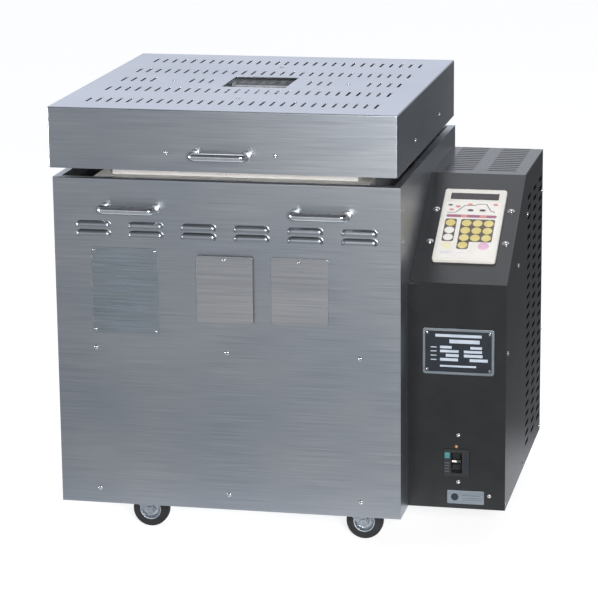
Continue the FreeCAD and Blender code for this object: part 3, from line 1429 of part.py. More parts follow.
controller_screw_places = [
    (x, S.panel_up + S.panel_screw_low + S.panel_screw_pitch * row)
    for x in (S.panel_left - S.panel_screw_out,
              S.panel_left + S.panel_width + S.panel_screw_out)
    for row in range(2)]
breaker_middle = box_left + S.breaker_left + S.breaker_width / 2
breaker_low = bottom + S.breaker_height
nameplate_low = (box_left + S.nameplate_left, bottom + S.nameplate_height)
breaker_screw_gap = S.breaker_tall / 2
cover_screw_places = [
    (breaker_middle, box_front, breaker_low + S.breaker_tall + breaker_screw_gap, "front"),
    (breaker_middle, box_front, breaker_low - breaker_screw_gap / 2, "front"),
    (box_right - 1.1 * breaker_screw_gap, box_front, low_row, "front")]
side_screw_places = [(box_right, box_front + y, bottom + z, "right") for y, z in side_screws]


def control_side_panel():
    """Right side of the control box with three columns of ventilation slots."""
    body = new_body("side_sheet", box_inner_right, box_front, bottom)
    pad(body, box_outline(body), S.box_sheet)
    tools = screw_holes("side", side_screw_places, S.box_sheet)
    for column in range(3):
        y = box_back - S.side_column - S.side_column_pitch * column - S.side_slot_length / 2
        z = bottom + S.side_slot_first - S.side_slot_height / 2
        tools.append(slot_row("side_slots", (box_inner_right - S.box_sheet, y, z),
                              (3 * S.box_sheet, S.side_slot_length, S.side_slot_height),
                              "Z_Axis", S.side_slot_pitch, 26))
    sub_part(cut("control_side", body, tools), "control_side_panel")


def control_chassis():
    """The box's floor, back and the side that is bolted to the kiln."""
    wall = new_body("chassis_wall", box_left, box_front, bottom)
    pad(wall, box_outline(wall), S.box_sheet)
    skin = S.box_sheet
    floor = block("chassis_floor", (box_inner_left, box_front + skin, bottom),
                  (box_inner_right, box_back, bottom + skin))
    rear = block("chassis_back", (box_inner_left, box_back - skin, bottom),
                 (box_inner_right, box_back, box_top - skin))
    gland_hole = hole("chassis_gland", gland_x, box_back, gland_z, "back",
                      S.gland_thread + S.slip, skin)
    wiring = hole("chassis_wiring", box_left + skin, box_front + S.box_depth / 2,
                  bottom + S.box_front_height / 2, "right", S.gland_thread, skin)
    sub_part(cut("chassis", fuse("chassis_solid", [wall, floor, rear]), [gland_hole, wiring]),
             "control_chassis")


gland_x = box_left + S.box_width / 2
gland_z = bottom + S.gland_height


def cable_gland():
    """Threaded gland in the back of the control box, with its lock nut inside."""
    body = new_body("gland", gland_x, box_back, gland_z)
    nut, thread, bore, reach = S.gland_radius, S.gland_thread, S.gland_bore, S.gland_reach
    skin = S.box_sheet
    revolve(body, outline(body, "XY_Plane", [
        (bore, -reach / 2), (thread, -reach / 2), (thread, 0), (nut, 0), (nut, reach * 0.4),
        (nut * 0.9, reach * 0.45), (nut * 0.9, reach * 0.85), (nut * 0.7, reach),
        (bore, reach)]))
    locknut = cylinder("gland_locknut", gland_x, box_back - skin - reach / 4, gland_z, nut,
                       reach / 4, "back")
    core = cylinder("gland_core", gland_x, box_back - skin - reach / 2, gland_z,
                    (thread + bore) / 2, reach, "back")
    sub_part(fuse("gland_set", [body, cut("gland_ring", locknut, [core])]), "cable_gland")


def controller():
    """White housing let into the slope, its display window, keypad overlay and screws."""
    body = place_on_slope(doc.addObject("PartDesign::Body", "housing"), S.panel_left,
                          S.panel_up, ZERO)
    face = body_box(body, "Additive", (ZERO, ZERO, ZERO),
                    (S.panel_width, S.panel_tall, S.panel_thick))
    rounded = fillet(body, face, along("z"), S.panel_corner)
    thick = S.panel_thick.value
    fillet(body, rounded, lambda middle, direction: middle.z > thick - 0.01,
           S.panel_thick * 0.2)
    rim = S.panel_rim
    body_box(body, "Additive", (rim, rim, -S.panel_depth),
             (S.panel_width - rim, S.panel_tall - rim, ZERO))
    body_box(body, "Subtractive",
             (S.window_left, S.window_up, S.panel_thick - S.window_deep),
             (S.window_left + S.window_width, S.window_up + S.window_tall, S.panel_thick + 1))
    sub_part(body, "controller_housing")
    lens = box("lens", ZERO, ZERO, ZERO, S.window_width - 2 * S.slip,
               S.window_tall - 2 * S.slip, S.window_deep - S.slip)
    place_on_slope(lens, S.panel_left + S.window_left + S.slip,
                   S.panel_up + S.window_up + S.slip, S.panel_thick - S.window_deep)
    sub_part(lens, "controller_display")
    margin = S.window_left / 2
    overlay = box("overlay_sheet", ZERO, ZERO, ZERO, S.panel_width - 2 * margin,
                  S.window_up - 2 * margin, S.overlay_sheet)
    place_on_slope(overlay, S.panel_left + margin, S.panel_up + margin, S.panel_thick)
    keys = []
    for x, up in key_places():
        key = cylinder("key", ZERO, ZERO, ZERO, S.key_radius, S.overlay_sheet + S.key_rise)
        keys.append(place_on_slope(key, S.panel_left + x, S.panel_up + up, S.panel_thick))
    sub_part(fuse("overlay", [overlay] + keys), "controller_overlay")
    heads = []
    for index, (x, up) in enumerate(controller_screw_places):
        crown = doc.addObject("Part::Cone", "controller_screw_head")
        bind(crown, "Radius1", S.screw_head * 1.15)
        bind(crown, "Radius2", S.screw_head * 0.7)
        bind(crown, "Height", S.screw_head_height * 1.2)
        place_on_slope(crown, x, up, ZERO)
        shank = cylinder("controller_screw_shank", ZERO, ZERO, ZERO, S.screw_shank,
                         3 * S.box_sheet)
        place_on_slope(shank, x, up, -3 * S.box_sheet)
        heads.append(fuse(f"controller_screw_{index}", [crown, shank]))
    sub_part(group("screws_of_controller", heads), "controller_screws")


def key_places():
    """The middles of the keys from the controller's lower left corner: four in the left
    column, a block of three by three, one below it and one larger key beside that."""
    pitch = 2.26 * S.key_radius
    first_up = S.window_up - 3.64 * pitch + S.key_radius * 0.9
    rows = [first_up + pitch * row for row in range(3)]
    columns = [S.panel_width - 22 - pitch * index for index in (2, 1, 0)]
    keys = [(S.panel_width * 0.19, up) for up in rows]
    keys.append((S.panel_width * 0.19, rows[0] - pitch))
    keys += [(x, up) for up in rows for x in columns]
    keys.append((columns[0], rows[0] - pitch))
    keys.append((columns[2], rows[0] - pitch))
    return keys


def nameplate():
    """Bare plate with a raised border, held by four small screws."""
    x, z = nameplate_low
    rim = S.nameplate_rim
    body = new_body("nameplate_sheet", x, box_front, z)
    plate = body_box(body, "Additive", (ZERO, -2 * S.plate_sheet, ZERO),
                     (S.nameplate_width, ZERO, S.nameplate_tall))
    fillet(body, plate, along("y"), S.cover_corner)
    body_box(body, "Subtractive", (rim, -3 * S.plate_sheet, rim),
             (S.nameplate_width - rim, -S.plate_sheet, S.nameplate_tall - rim))
    sub_part(body, "nameplate")
    heads = []
    inset = S.nameplate_screw
    for px in (x + inset, x + S.nameplate_width - inset):
        for pz in (z + inset, z + S.nameplate_tall - inset):
            head = doc.addObject("Part::Cone", "nameplate_screw")
            bind(head, "Radius1", S.rivet_head)
            bind(head, "Radius2", S.rivet_head * 0.5)
            bind(head, "Height", 1.6 * S.plate_sheet)
            heads.append(place(head, px, box_front - S.plate_sheet, pz, "front"))
    sub_part(group("screws_of_nameplate", heads), "nameplate_screws")


lever_y = box_front + S.lever_length * 0.5
lever_z = breaker_low + S.breaker_tall / 2


def breaker():
    """Circuit breaker behind the front sheet and its rocking lever."""
    x = box_left + S.breaker_left
    case = block("breaker_case", (x, box_front - S.breaker_face, breaker_low),
                 (x + S.breaker_width, box_front + S.breaker_deep,
                  breaker_low + S.breaker_tall))
    slot = S.breaker_slot / 2
    recess = block("breaker_recess",
                   (breaker_middle - slot, box_front - S.breaker_face - 1,
                    lever_z - S.breaker_tall * 0.38),
                   (breaker_middle + slot, lever_y + S.lever_thick,
                    lever_z + S.breaker_tall * 0.38))
    stub = S.screw_shank
    pin_hole = cylinder("lever_bore", breaker_middle - S.breaker_slot, lever_y, lever_z,
                        stub + S.running_gap, 2 * S.breaker_slot, "right")
    sub_part(cut("breaker_case_cut", case, [recess, pin_hole]), "breaker_body")
    half = S.lever_width / 2
    reach = S.lever_length
    thick = S.lever_thick / 2
    lever = new_body("lever", breaker_middle - half, lever_y, lever_z)
    pad(lever, outline(lever, "YZ_Plane", [
        (thick, -thick), (thick, thick), (0, thick * 1.2), (-reach, thick * 1.6),
        (-reach - 1, thick * 0.6), (-reach * 0.5, -thick * 0.4), (0, -thick * 1.2)]),
        S.lever_width)
    pin = cylinder("lever_pin", breaker_middle - S.breaker_slot + 1, lever_y, lever_z, stub,
                   2 * S.breaker_slot - 2, "right")
    sub_part(fuse("lever_set", [lever, pin]), "breaker_lever")


def contactor():
    """Contactor on the chassis wall: a base with a raised coil housing and two flanges."""
    x = box_inner_left
    y = box_front + S.box_depth / 2
    z = bottom + S.box_front_height * 0.7
    deep, wide, tall = S.breaker_deep, 1.4 * S.breaker_width, 1.6 * S.breaker_tall
    base = box("contactor_base", x, y, z, deep * 0.55, wide, tall)
    coil = box("contactor_coil", x, y + wide * 0.1, z + tall * 0.2, deep * 1.4, wide * 0.8,
               tall * 0.6)
    ears = box("contactor_ears", x, y - wide * 0.12, z + tall * 0.3, deep * 0.1, wide * 1.24,
               tall * 0.4)
    sub_part(fuse("contactor_unit", [base, coil, ears]), "contactor")


def control_box_screws():
    heads = screws("side_screw", side_screw_places + cover_screw_places, S.screw_head,
                   2 * S.box_sheet)
    sub_part(group("screws_of_box", heads), "control_box_screws")


def build_control_box():
    control_chassis()
    control_cover()
    control_side_panel()
    controller()
    nameplate()
    breaker()
    contactor()
    cable_gland()
    control_box_screws()


def check_document():
    """Stop if any object failed or any piece is missing, empty or broken."""
    doc.recompute()
    for item in doc.Objects:
        if "Invalid" in item.State or "Error" in item.State:
            raise RuntimeError(f"{item.Label} failed: {item.State}")
    for item in parts:
        if item.Shape.isNull() or not item.Shape.isValid() or not item.Shape.Solids:
            raise RuntimeError(f"{item.Label} has no valid solid")


def export_parts():
    os.makedirs("parts", exist_ok=True)
    for item in parts:
        item.Shape.exportStep(f"parts/{item.Label}.step")
        print(item.Label, len(item.Shape.Solids), "solids", round(item.Shape.Volume), "mm3")


build_casing()
build_lid()
build_casters()
build_control_box()
check_document()
export_parts()
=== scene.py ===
# %% [markdown]
# # An electric kiln on casters
# The kiln is a stainless steel box with a hinged lid, and a black control box bolted to its
# right side. The solid model from the CAD step is loaded first and stays where it is. Each
# step below either gives one of its solids a better finish, or puts a more detailed piece in
# its place. Shapes are given in kiln millimetres: x from the casing's middle, y behind its
# front sheet, z above the floor. One function turns them into the shared frame's metres.

import bmesh
import bpy
import numpy as np
from mathutils import Matrix, Vector
from mathutils.geometry import delaunay_2d_cdt


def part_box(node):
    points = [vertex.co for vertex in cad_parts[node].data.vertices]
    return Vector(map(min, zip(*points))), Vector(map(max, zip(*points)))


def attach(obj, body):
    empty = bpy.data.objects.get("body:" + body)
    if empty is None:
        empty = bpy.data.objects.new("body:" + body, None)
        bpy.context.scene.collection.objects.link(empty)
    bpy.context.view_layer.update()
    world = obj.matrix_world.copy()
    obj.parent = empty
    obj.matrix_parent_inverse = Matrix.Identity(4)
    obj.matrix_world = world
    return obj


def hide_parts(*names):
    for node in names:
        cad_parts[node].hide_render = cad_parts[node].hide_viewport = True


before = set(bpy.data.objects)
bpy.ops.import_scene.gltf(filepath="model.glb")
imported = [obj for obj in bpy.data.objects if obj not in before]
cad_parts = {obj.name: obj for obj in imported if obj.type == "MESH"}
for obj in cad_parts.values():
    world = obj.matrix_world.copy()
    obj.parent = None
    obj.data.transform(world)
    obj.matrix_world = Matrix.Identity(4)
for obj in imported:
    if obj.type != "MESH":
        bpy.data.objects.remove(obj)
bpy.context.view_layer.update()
print("CAD nodes:", len(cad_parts))

# %% Kiln millimetres and the shared frame
TOP_FLANGE = 12.5
panel_low, panel_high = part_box("front_panel")
origin = np.array([(panel_low.x + panel_high.x) / 2, panel_high.y - TOP_FLANGE / 1000, 0.0])


def metres(points):
    """Kiln millimetres to the shared frame: divided by a thousand, then moved."""
    return np.asarray(points, float) / 1000 + origin


def box_of(node):
    """The lowest and highest corner of a CAD node, in kiln millimetres."""
    low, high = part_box(node)
    return (np.array(low) - origin) * 1000, (np.array(high) - origin) * 1000


CASING_LOW, CASING_HIGH = box_of("left_panel")[0], box_of("right_panel")[1]
CASING_LOW[1], CASING_HIGH[1] = 0, box_of("rear_panel")[1][1]
LID_LOW, LID_HIGH = box_of("lid_casing")
BOX_LOW, BOX_HIGH = box_of("control_chassis")[0], box_of("control_side_panel")[1]
print("casing", CASING_LOW.round(1), CASING_HIGH.round(1))
print("lid", LID_LOW.round(1), LID_HIGH.round(1))
print("control box", BOX_LOW.round(1), BOX_HIGH.round(1))

# %% [markdown]
# ## Blocks of faces
# Every new shape is worked out with numpy as a block: its points, its faces and the number
# of the finish that they get. A grid of points gives quads between neighbours. A flat sheet
# with holes is filled between its loops. Blocks that share an edge are welded when they
# become a mesh, so a folded sheet can be made of flat parts and bends. A sheet gets its
# thickness in the mesh too, before its sharp edges are found. A modifier would do it after
# that, and would smear the shading over the edges.

# %% Grids and flat sheets


def grid(points, around=False, closed=False, finish=0):
    """Quads between neighbouring points of a grid, given as rows of points. around joins the
    end of each row to its start, and closed joins the last row to the first."""
    rows, columns = points.shape[:2]
    index = np.arange(rows * columns).reshape(rows, columns)
    if around:
        index = np.c_[index, index[:, :1]]
    if closed:
        index = np.r_[index, index[:1]]
    quads = np.stack([index[:-1, :-1], index[:-1, 1:], index[1:, 1:], index[1:, :-1]], -1)
    return points.reshape(-1, 3), quads.reshape(-1, 4), finish


def flat(loops, height=0.0, finish=0):
    """A flat sheet at a height, between an outer loop of (u, v) points and convex holes. A
    constrained Delaunay triangulation gives triangles that are as even as the edges allow.
    Those whose three corners are all on one hole lie inside it, and are left out."""
    sizes = [len(loop) for loop in loops]
    starts = np.cumsum([0] + sizes)
    edges = np.vstack([np.c_[np.arange(size), np.roll(np.arange(size), -1)] + start
                       for size, start in zip(sizes, starts)])
    points = np.vstack(loops)
    filled = delaunay_2d_cdt([Vector(point) for point in points.tolist()], edges.tolist(),
                             [list(range(sizes[0]))], 1, 1e-5)
    first = np.array([sources[0] for sources in filled[3]])
    triangles = first[np.array(filled[2])]
    loop_of = np.repeat(np.arange(len(loops)), sizes)[triangles]
    inside = (loop_of[:, 0] > 0) & (loop_of == loop_of[:, :1]).all(axis=1)
    return np.c_[points, np.full(len(points), float(height))], triangles[~inside], finish


def rounded_loop(width, height, radius, steps=5, centre=(0.0, 0.0)):
    """A rectangle with rounded corners: four quarter circles, each about its own corner's
    centre, anticlockwise from the lower right."""
    turn = np.linspace(0, np.pi / 2, steps + 1)
    corners = np.array([(1, -1), (1, 1), (-1, 1), (-1, -1)])
    angles = np.arange(-1, 3)[:, None] * np.pi / 2 + turn
    circle = np.stack([np.cos(angles), np.sin(angles)], -1) * radius
    middles = corners * (np.array([width, height]) / 2 - radius)
    return (middles[:, None] + circle).reshape(-1, 2) + centre


def placed(blocks, place, finish=None):
    """The blocks with their points moved by a function, and another finish if one is given."""
    return [(place(points), faces, own if finish is None else finish)
            for points, faces, own in blocks]


# %% Facing directions
BOX_FRONT, BOX_RIDGE, BOX_DEEP = 397.5, 248.0, 499.0
FOLD_Z = BOX_LOW[2] + BOX_FRONT
RIDGE_Y = BOX_LOW[1] + BOX_RIDGE
slope_angle = np.arctan2(BOX_HIGH[2] - FOLD_Z, RIDGE_Y - BOX_LOW[1])
COS, SIN = np.cos(slope_angle), np.sin(slope_angle)
# Each face of the kiln: the directions right, up and outwards as someone facing it sees them.
FACES = {
    "front": ((1, 0, 0), (0, 0, 1), (0, -1, 0)),
    "back": ((-1, 0, 0), (0, 0, 1), (0, 1, 0)),
    "right": ((0, 1, 0), (0, 0, 1), (1, 0, 0)),
    "left": ((0, -1, 0), (0, 0, 1), (-1, 0, 0)),
    "top": ((1, 0, 0), (0, 1, 0), (0, 0, 1)),
    "slope": ((1, 0, 0), (0, COS, SIN), (0, -SIN, COS)),
}


def facing(side, corner):
    """A function that lays (right, up, outwards) points on that face, from a corner point."""
    directions, start = np.array(FACES[side]), np.asarray(corner, float)
    return lambda points: np.asarray(points) @ directions + start


on_slope = facing("slope", (BOX_LOW[0], BOX_LOW[1], FOLD_Z))
print("slope of the control box:", round(np.degrees(slope_angle), 1), "degrees")

# %% Blocks to a piece
WELD = 2e-6
FLAT_WITHIN = np.radians(0.5)


def faces_outwards(shell):
    """Whether the faces look away from the shell's middle: the sum of area times normal times
    the way from the middle to the face is above zero."""
    faces = [(face.calc_center_median(), face.normal, face.calc_area()) for face in shell.faces]
    whole = sum(area for _, _, area in faces)
    middle = sum((place * area for place, _, area in faces), start=Vector()) / whole
    return sum((place - middle).dot(normal) * area for place, normal, area in faces) > 0


def piece(name, blocks, finishes, body, replaces=(), sharp=35, sheet=0.0, edge=0.0,
          merge_flat=False):
    """Welds blocks into one mesh piece. sheet is the thickness, in millimetres, that an open
    sheet gets on its inner side, and edge the width of the bevel on its sharp edges. With
    merge_flat, triangles that lie in one plane become one face first."""
    starts = np.cumsum([0] + [len(points) for points, _, _ in blocks])
    faces, numbers = [], []
    for (_, block_faces, finish), start in zip(blocks, starts):
        faces += (block_faces + start).tolist()
        numbers += [finish] * len(block_faces)
    mesh = bpy.data.meshes.new(name)
    mesh.from_pydata(metres(np.vstack([points for points, _, _ in blocks])).tolist(), [], faces)
    mesh.polygons.foreach_set("material_index", numbers)
    shell = bmesh.new()
    shell.from_mesh(mesh)
    bmesh.ops.remove_doubles(shell, verts=shell.verts, dist=WELD)
    bmesh.ops.dissolve_degenerate(shell, edges=shell.edges, dist=2 * WELD)
    if merge_flat:
        bmesh.ops.dissolve_limit(shell, angle_limit=FLAT_WITHIN, verts=shell.verts,
                                 edges=shell.edges)
    bmesh.ops.recalc_face_normals(shell, faces=shell.faces)
    if sheet:
        if not faces_outwards(shell):
            bmesh.ops.reverse_faces(shell, faces=shell.faces)
        bmesh.ops.solidify(shell, geom=shell.faces[:], thickness=sheet / 1000)
    shell.to_mesh(mesh)
    shell.free()
    return dressed(bpy.data.objects.new(name, mesh), finishes, body, replaces, sharp, edge)


def dressed(new, finishes, body, replaces, sharp, edge):
    """Links a new object, gives it its finishes and bevel, hangs it on its body and hides the CAD
    nodes that it replaces.
    """
    bpy.context.scene.collection.objects.link(new)
    for finish in finishes:
        new.data.materials.append(finish)
    new.data.shade_smooth()
    new.data.set_sharp_from_angle(angle=np.radians(sharp))
    if edge:
        bevel = new.modifiers.new("edge", "BEVEL")
        bevel.width, bevel.segments = edge / 1000, 2
        bevel.limit_method, bevel.angle_limit = "ANGLE", np.radians(40)
        bevel.harden_normals = True
    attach(new, body)
    if replaces:
        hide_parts(*replaces)
    print(f"{new.name}: {len(new.data.polygons)} faces, rides on {body}")
    return new


# %% [markdown]
# ## Sweeps, turned shapes and plates
# A handle is a round section carried along its bent line. A screw head, a tyre or a hub is a
# profile turned about an axis. A plate is a rounded outline with an edge that curves over.
# Blender's curves and its Screw modifier could make the first two, but all three are grids,
# so one short function each is enough, and the points stay in plain millimetres.

# %% Sweeps, turned shapes and plates


def sweep(path, side, section):
    """Carries a closed section of (across, side) points along a path that lies in a plane.
    side is the direction square to that plane. Both ends are closed by a ring of no size."""
    path, side = np.asarray(path, float), np.asarray(side, float)
    ahead = np.gradient(path, axis=0)
    ahead /= np.linalg.norm(ahead, axis=1, keepdims=True)
    across = np.cross(side, ahead)
    bands = (path[:, None] + section[None, :, :1] * across[:, None]
             + section[None, :, 1:] * side)
    middles = np.repeat(path[[0, -1], None], len(section), axis=1)
    return grid(np.concatenate([middles[:1], bands, middles[1:]]), around=True)


def turned(profile, count=32, closed=False):
    """Turns a profile of (radius, height) points about the upward axis through the origin."""
    profile = np.asarray(profile, float)
    angle = np.linspace(0, 2 * np.pi, count, endpoint=False)
    radius, height = profile[:, :1], np.repeat(profile[:, 1:], count, axis=1)
    return grid(np.stack([radius * np.cos(angle), radius * np.sin(angle), height], -1),
                around=True, closed=closed)


def circle_loop(radius, count=32):
    """Points at equal angles round a circle."""
    angle = np.linspace(0, 2 * np.pi, count, endpoint=False)
    return radius * np.stack([np.cos(angle), np.sin(angle)], -1)


def rings(loops, heights, finish=0):
    """Loops with the same number of points, each at its height, joined by quads."""
    return grid(np.stack([np.c_[loop, np.full(len(loop), level)]
                          for loop, level in zip(loops, heights)]), around=True, finish=finish)


# A flat ring this wide, in millimetres, lies between a curved edge and a large flat face.
MARGIN = 0.6


def plate(width, height, thick, corner, edge, holes=()):
    """A plate from (0, 0) to (width, height): a rounded outline that rises and curves over at
    its edge by a quarter circle, with a flat face, a flat back and straight-walled holes. A
    narrow flat margin next to the curve keeps the face's shading flat."""
    turn = np.linspace(0, np.pi / 2, 4)
    insets = np.r_[0, edge * (1 - np.cos(turn)), edge + MARGIN]
    heights = np.r_[0, thick - edge + edge * np.sin(turn), thick]
    middle = (width / 2, height / 2)
    loops = [rounded_loop(width - 2 * inset, height - 2 * inset, max(corner - inset, 0.05),
                          centre=middle) for inset in insets]
    return [rings(loops, heights), flat([loops[-1], *holes], thick), flat([loops[0], *holes])] \
        + [rings([loop, loop], (0, thick)) for loop in holes]


def stamped(blocks, places):
    """Copies of blocks laid at many places, each a (face, corner) pair, as whole arrays."""
    return [part for side, corner in places for part in placed(blocks, facing(side, corner))]


# %% [markdown]
# ## Finishes
# Each finish starts from what the real one is. Colours are written as the screen shows them
# and turned to linear values by one function. Brush lines, pores and grit get their scale
# from real millimetres: a noise of scale s has features about 1000/s millimetres wide. They
# could be painted as pictures, but noise needs no file and no unwrapping, and it runs through
# every piece in the same object coordinates.

# %% Colours and nodes


def colour(code):
    """An sRGB hex colour as linear red, green, blue and a full alpha."""
    channels = np.array([int(code[i:i + 2], 16) for i in (1, 3, 5)]) / 255
    linear = np.where(channels <= 0.04045, channels / 12.92, ((channels + 0.055) / 1.055) ** 2.4)
    return (*linear.tolist(), 1.0)


def add_node(tree, kind, settings=None, links=None):
    """Adds a node. A setting is one of its properties or the value of one of its inputs, and
    a link joins one of its inputs to another node's output."""
    node = tree.nodes.new(kind)
    for name, value in (settings or {}).items():
        if isinstance(name, str) and hasattr(node, name):
            setattr(node, name, value)
        else:
            node.inputs[name].default_value = value
    for name, output in (links or {}).items():
        tree.links.new(output, node.inputs[name])
    return node


def new_finish(name, **values):
    """A material with the Principled shader's own sockets set, and its tree."""
    material = bpy.data.materials.new(name)
    material.use_nodes = True
    shader = material.node_tree.nodes["Principled BSDF"]
    for socket, value in values.items():
        shader.inputs[socket.replace("_", " ")].default_value = value
    return material, material.node_tree, shader


def object_noise(tree, scale, stretch=(1, 1, 1), detail=3.0, roughness=0.5):
    """Noise in object space. stretch multiplies the scale along each axis."""
    where = add_node(tree, "ShaderNodeTexCoord")
    mapping = add_node(tree, "ShaderNodeMapping", {"Scale": stretch},
                       {"Vector": where.outputs["Object"]})
    return add_node(tree, "ShaderNodeTexNoise",
                    {"Scale": scale, "Detail": detail, "Roughness": roughness},
                    {"Vector": mapping.outputs["Vector"]}).outputs["Fac"]


def spread(tree, value, low, high, from_low=0.3, from_high=0.7):
    """Spreads a noise's usual range over low to high: low plus the share of the range that
    lies below the value, times high less low."""
    return add_node(tree, "ShaderNodeMapRange",
                    {"From Min": from_low, "From Max": from_high, "To Min": low, "To Max": high},
                    {"Value": value}).outputs["Result"]


def blend_of(tree, factor, first, second):
    """Mixes two colours, given as hex codes or as outputs, by a factor."""
    mix = add_node(tree, "ShaderNodeMix", {"data_type": "RGBA"}, {"Factor": factor})
    for socket, value in (("A", first), ("B", second)):
        target = [entry for entry in mix.inputs
                  if entry.name == socket and entry.type == "RGBA"][0]
        if isinstance(value, str):
            target.default_value = colour(value)
        else:
            tree.links.new(value, target)
    return [entry for entry in mix.outputs if entry.type == "RGBA"][0]


def bump_from(tree, shader, height, strength, distance):
    """Raises the surface by a height, where distance is the real depth in metres."""
    bump = add_node(tree, "ShaderNodeBump", {"Strength": strength, "Distance": distance},
                    {"Height": height})
    tree.links.new(bump.outputs["Normal"], shader.inputs["Normal"])


# %% [markdown]
# ### Brushed stainless steel
# The casing and lid are 1.2 mm stainless sheet with a brushed finish. The brush leaves fine
# lines about 0.2 mm apart, all one way. Here they are about 1.5 mm apart, so that they show
# at all, and their contrast is low. A much larger noise gives the cloudy light and dark of
# rolled sheet. Lines run sideways on every upright face, so the noise is stretched flat; on
# the lid's top they run left to right, so it is stretched along x alone. An anisotropic
# shader could smear the reflections instead, but it needs tangents on every piece, and real
# lines in colour and roughness also show close up.

# %% Brushed stainless steel


def brushed_steel(name, dark, light, stretch, roughness=(0.33, 0.41)):
    """Rolled sheet with brush lines: the lines lighten the colour a little, change the
    roughness and stand out by a few hundredths of a millimetre."""
    material, tree, shader = new_finish(name, Metallic=1.0)
    lines = object_noise(tree, 1.0, stretch, detail=4.0, roughness=0.65)
    clouds = object_noise(tree, 3.2, (1, 1, 1.6), detail=2.0)
    cloudy = blend_of(tree, spread(tree, clouds, 0.0, 1.0), dark, light)
    lined = blend_of(tree, spread(tree, lines, 0.0, 0.14), cloudy, "#FFFFFF")
    tree.links.new(lined, shader.inputs["Base Color"])
    tree.links.new(spread(tree, lines, *roughness), shader.inputs["Roughness"])
    bump_from(tree, shader, lines, 0.06, 0.0002)
    return material


steel_wall = brushed_steel("brushed_stainless", "#949BA3", "#A5A9AE", (7, 7, 650))
# The lid top's colours are the wall steel's painted lighter and bluer: a painted reflection of
# the bright room behind.
steel_top_painted_lighter = brushed_steel("brushed_stainless_top_painted_lighter", "#BBC0CB", "#CBCFD9", (7, 650, 7))
plate_metal = brushed_steel("brushed_aluminium_plate", "#828C94", "#9099A0", (12, 12, 900),
                            (0.34, 0.46))
cover_metal = brushed_steel("brushed_cover_plate", "#A0A2A5", "#B3B4B5", (5, 5, 500))

# %% [markdown]
# ### Chrome, screws and plain steel
# The handles are chrome plate, nearly a mirror, with faint smears from hands. The screws are
# bright nickel-plated steel. Frames, casters and hinges are zinc-plated sheet, whose crystals
# make soft patches 5 to 10 mm wide. All are one function, because only the two colours, the
# two roughnesses and the size of the patches differ.

# %% Chrome, screws and plain steel


def plated(name, dark, light, low, high, scale, detail=2.0):
    """A plated metal whose colour and roughness vary in soft patches."""
    material, tree, shader = new_finish(name, Metallic=1.0)
    patches = object_noise(tree, scale, detail=detail)
    tree.links.new(blend_of(tree, spread(tree, patches, 0, 1), dark, light),
                   shader.inputs["Base Color"])
    tree.links.new(spread(tree, patches, low, high), shader.inputs["Roughness"])
    return material


chrome = plated("polished_chrome", "#DDE0E4", "#E8EAEC", 0.12, 0.19, 60)
bright_screw = plated("nickel_plated_screw", "#D5D6D6", "#E4E4E2", 0.16, 0.28, 400)
zinc_steel = plated("zinc_plated_steel", "#8F969C", "#A9AFB4", 0.32, 0.5, 140)
dark_steel = plated("dull_rolled_steel", "#5A5E62", "#73777A", 0.4, 0.6, 25, 4)
hub_zinc = plated("zinc_plated_hub", "#A9AFB5", "#C4C9CE", 0.28, 0.42, 160)
tray_steel = plated("aluminised_tray", "#BDBFC1", "#DCDEE0", 0.55, 0.72, 30, 3)
nichrome = plated("oxidised_heating_wire", "#4A4238", "#6B5F50", 0.5, 0.7, 300)


# %% [markdown]
# ### Paint, plastic, rubber and ceramics
# The control box is sprayed with black enamel that dries with a fine orange peel, about 2 mm
# from crest to crest. Firebrick is a white foamed clay full of pores under a millimetre.
# Fibre blanket is softer and woolly. Rubber is dull with a dusting of paler grey. Each has a
# slight relief, made by a bump of its real depth, because none of it is deep enough to need
# real geometry.

# %% Paint, plastic, rubber and ceramics


def moulded(name, dark, light, low, high, scale, depth, strength=0.2, detail=3.0, **values):
    """A paint, plastic, rubber or clay: two close colours, roughness and a grain in relief."""
    material, tree, shader = new_finish(name, **values)
    grain = object_noise(tree, scale, detail=detail)
    clouds = object_noise(tree, scale / 25)
    tree.links.new(blend_of(tree, spread(tree, clouds, 0, 1), dark, light),
                   shader.inputs["Base Color"])
    tree.links.new(spread(tree, grain, low, high), shader.inputs["Roughness"])
    bump_from(tree, shader, grain, strength, depth)
    return material


black_enamel = moulded("black_enamel", "#1D1E1F", "#252627", 0.18, 0.27, 500, 0.0003, 0.05)
white_plastic = moulded("white_moulded_plastic", "#ECE8DF", "#F3F0E9", 0.32, 0.42, 900, 0.0001)
black_plastic = moulded("black_moulded_plastic", "#1E2021", "#282A2B", 0.35, 0.5, 900, 0.0001)
rubber = moulded("black_rubber", "#161617", "#222224", 0.6, 0.8, 400, 0.0004, 0.3)
porcelain = moulded("unglazed_porcelain", "#E9E4DA", "#F4F0E8", 0.45, 0.6, 700, 0.0002)
fibre = moulded("ceramic_fibre", "#EDEAE4", "#FAF8F3", 0.85, 0.95, 350, 0.002, 0.6, 6.0)


def firebrick_finish():
    """White insulating brick: pale clay with round pores, about 1.6 mm apart, with painted shade
    darkening each pore inside.
    """
    material, tree, shader = new_finish("insulating_firebrick", Roughness=0.9)
    where = add_node(tree, "ShaderNodeTexCoord").outputs["Object"]
    pores = add_node(tree, "ShaderNodeTexVoronoi", {"Scale": 620.0}, {"Vector": where})
    depth = spread(tree, pores.outputs["Distance"], 1.0, 0.0, 0.15, 0.45)
    clay = blend_of(tree, spread(tree, object_noise(tree, 40), 0, 1), "#F1EEEA", "#FBFAF9")
    # Painted shade: the clay darkens toward #C9C0B4 inside each pore.
    tree.links.new(blend_of(tree, spread(tree, depth, 0.0, 0.3, 0, 1), clay, "#C9C0B4"),
                   shader.inputs["Base Color"])
    bump_from(tree, shader, pores.outputs["Distance"], 0.5, 0.0008)
    return material


firebrick = firebrick_finish()

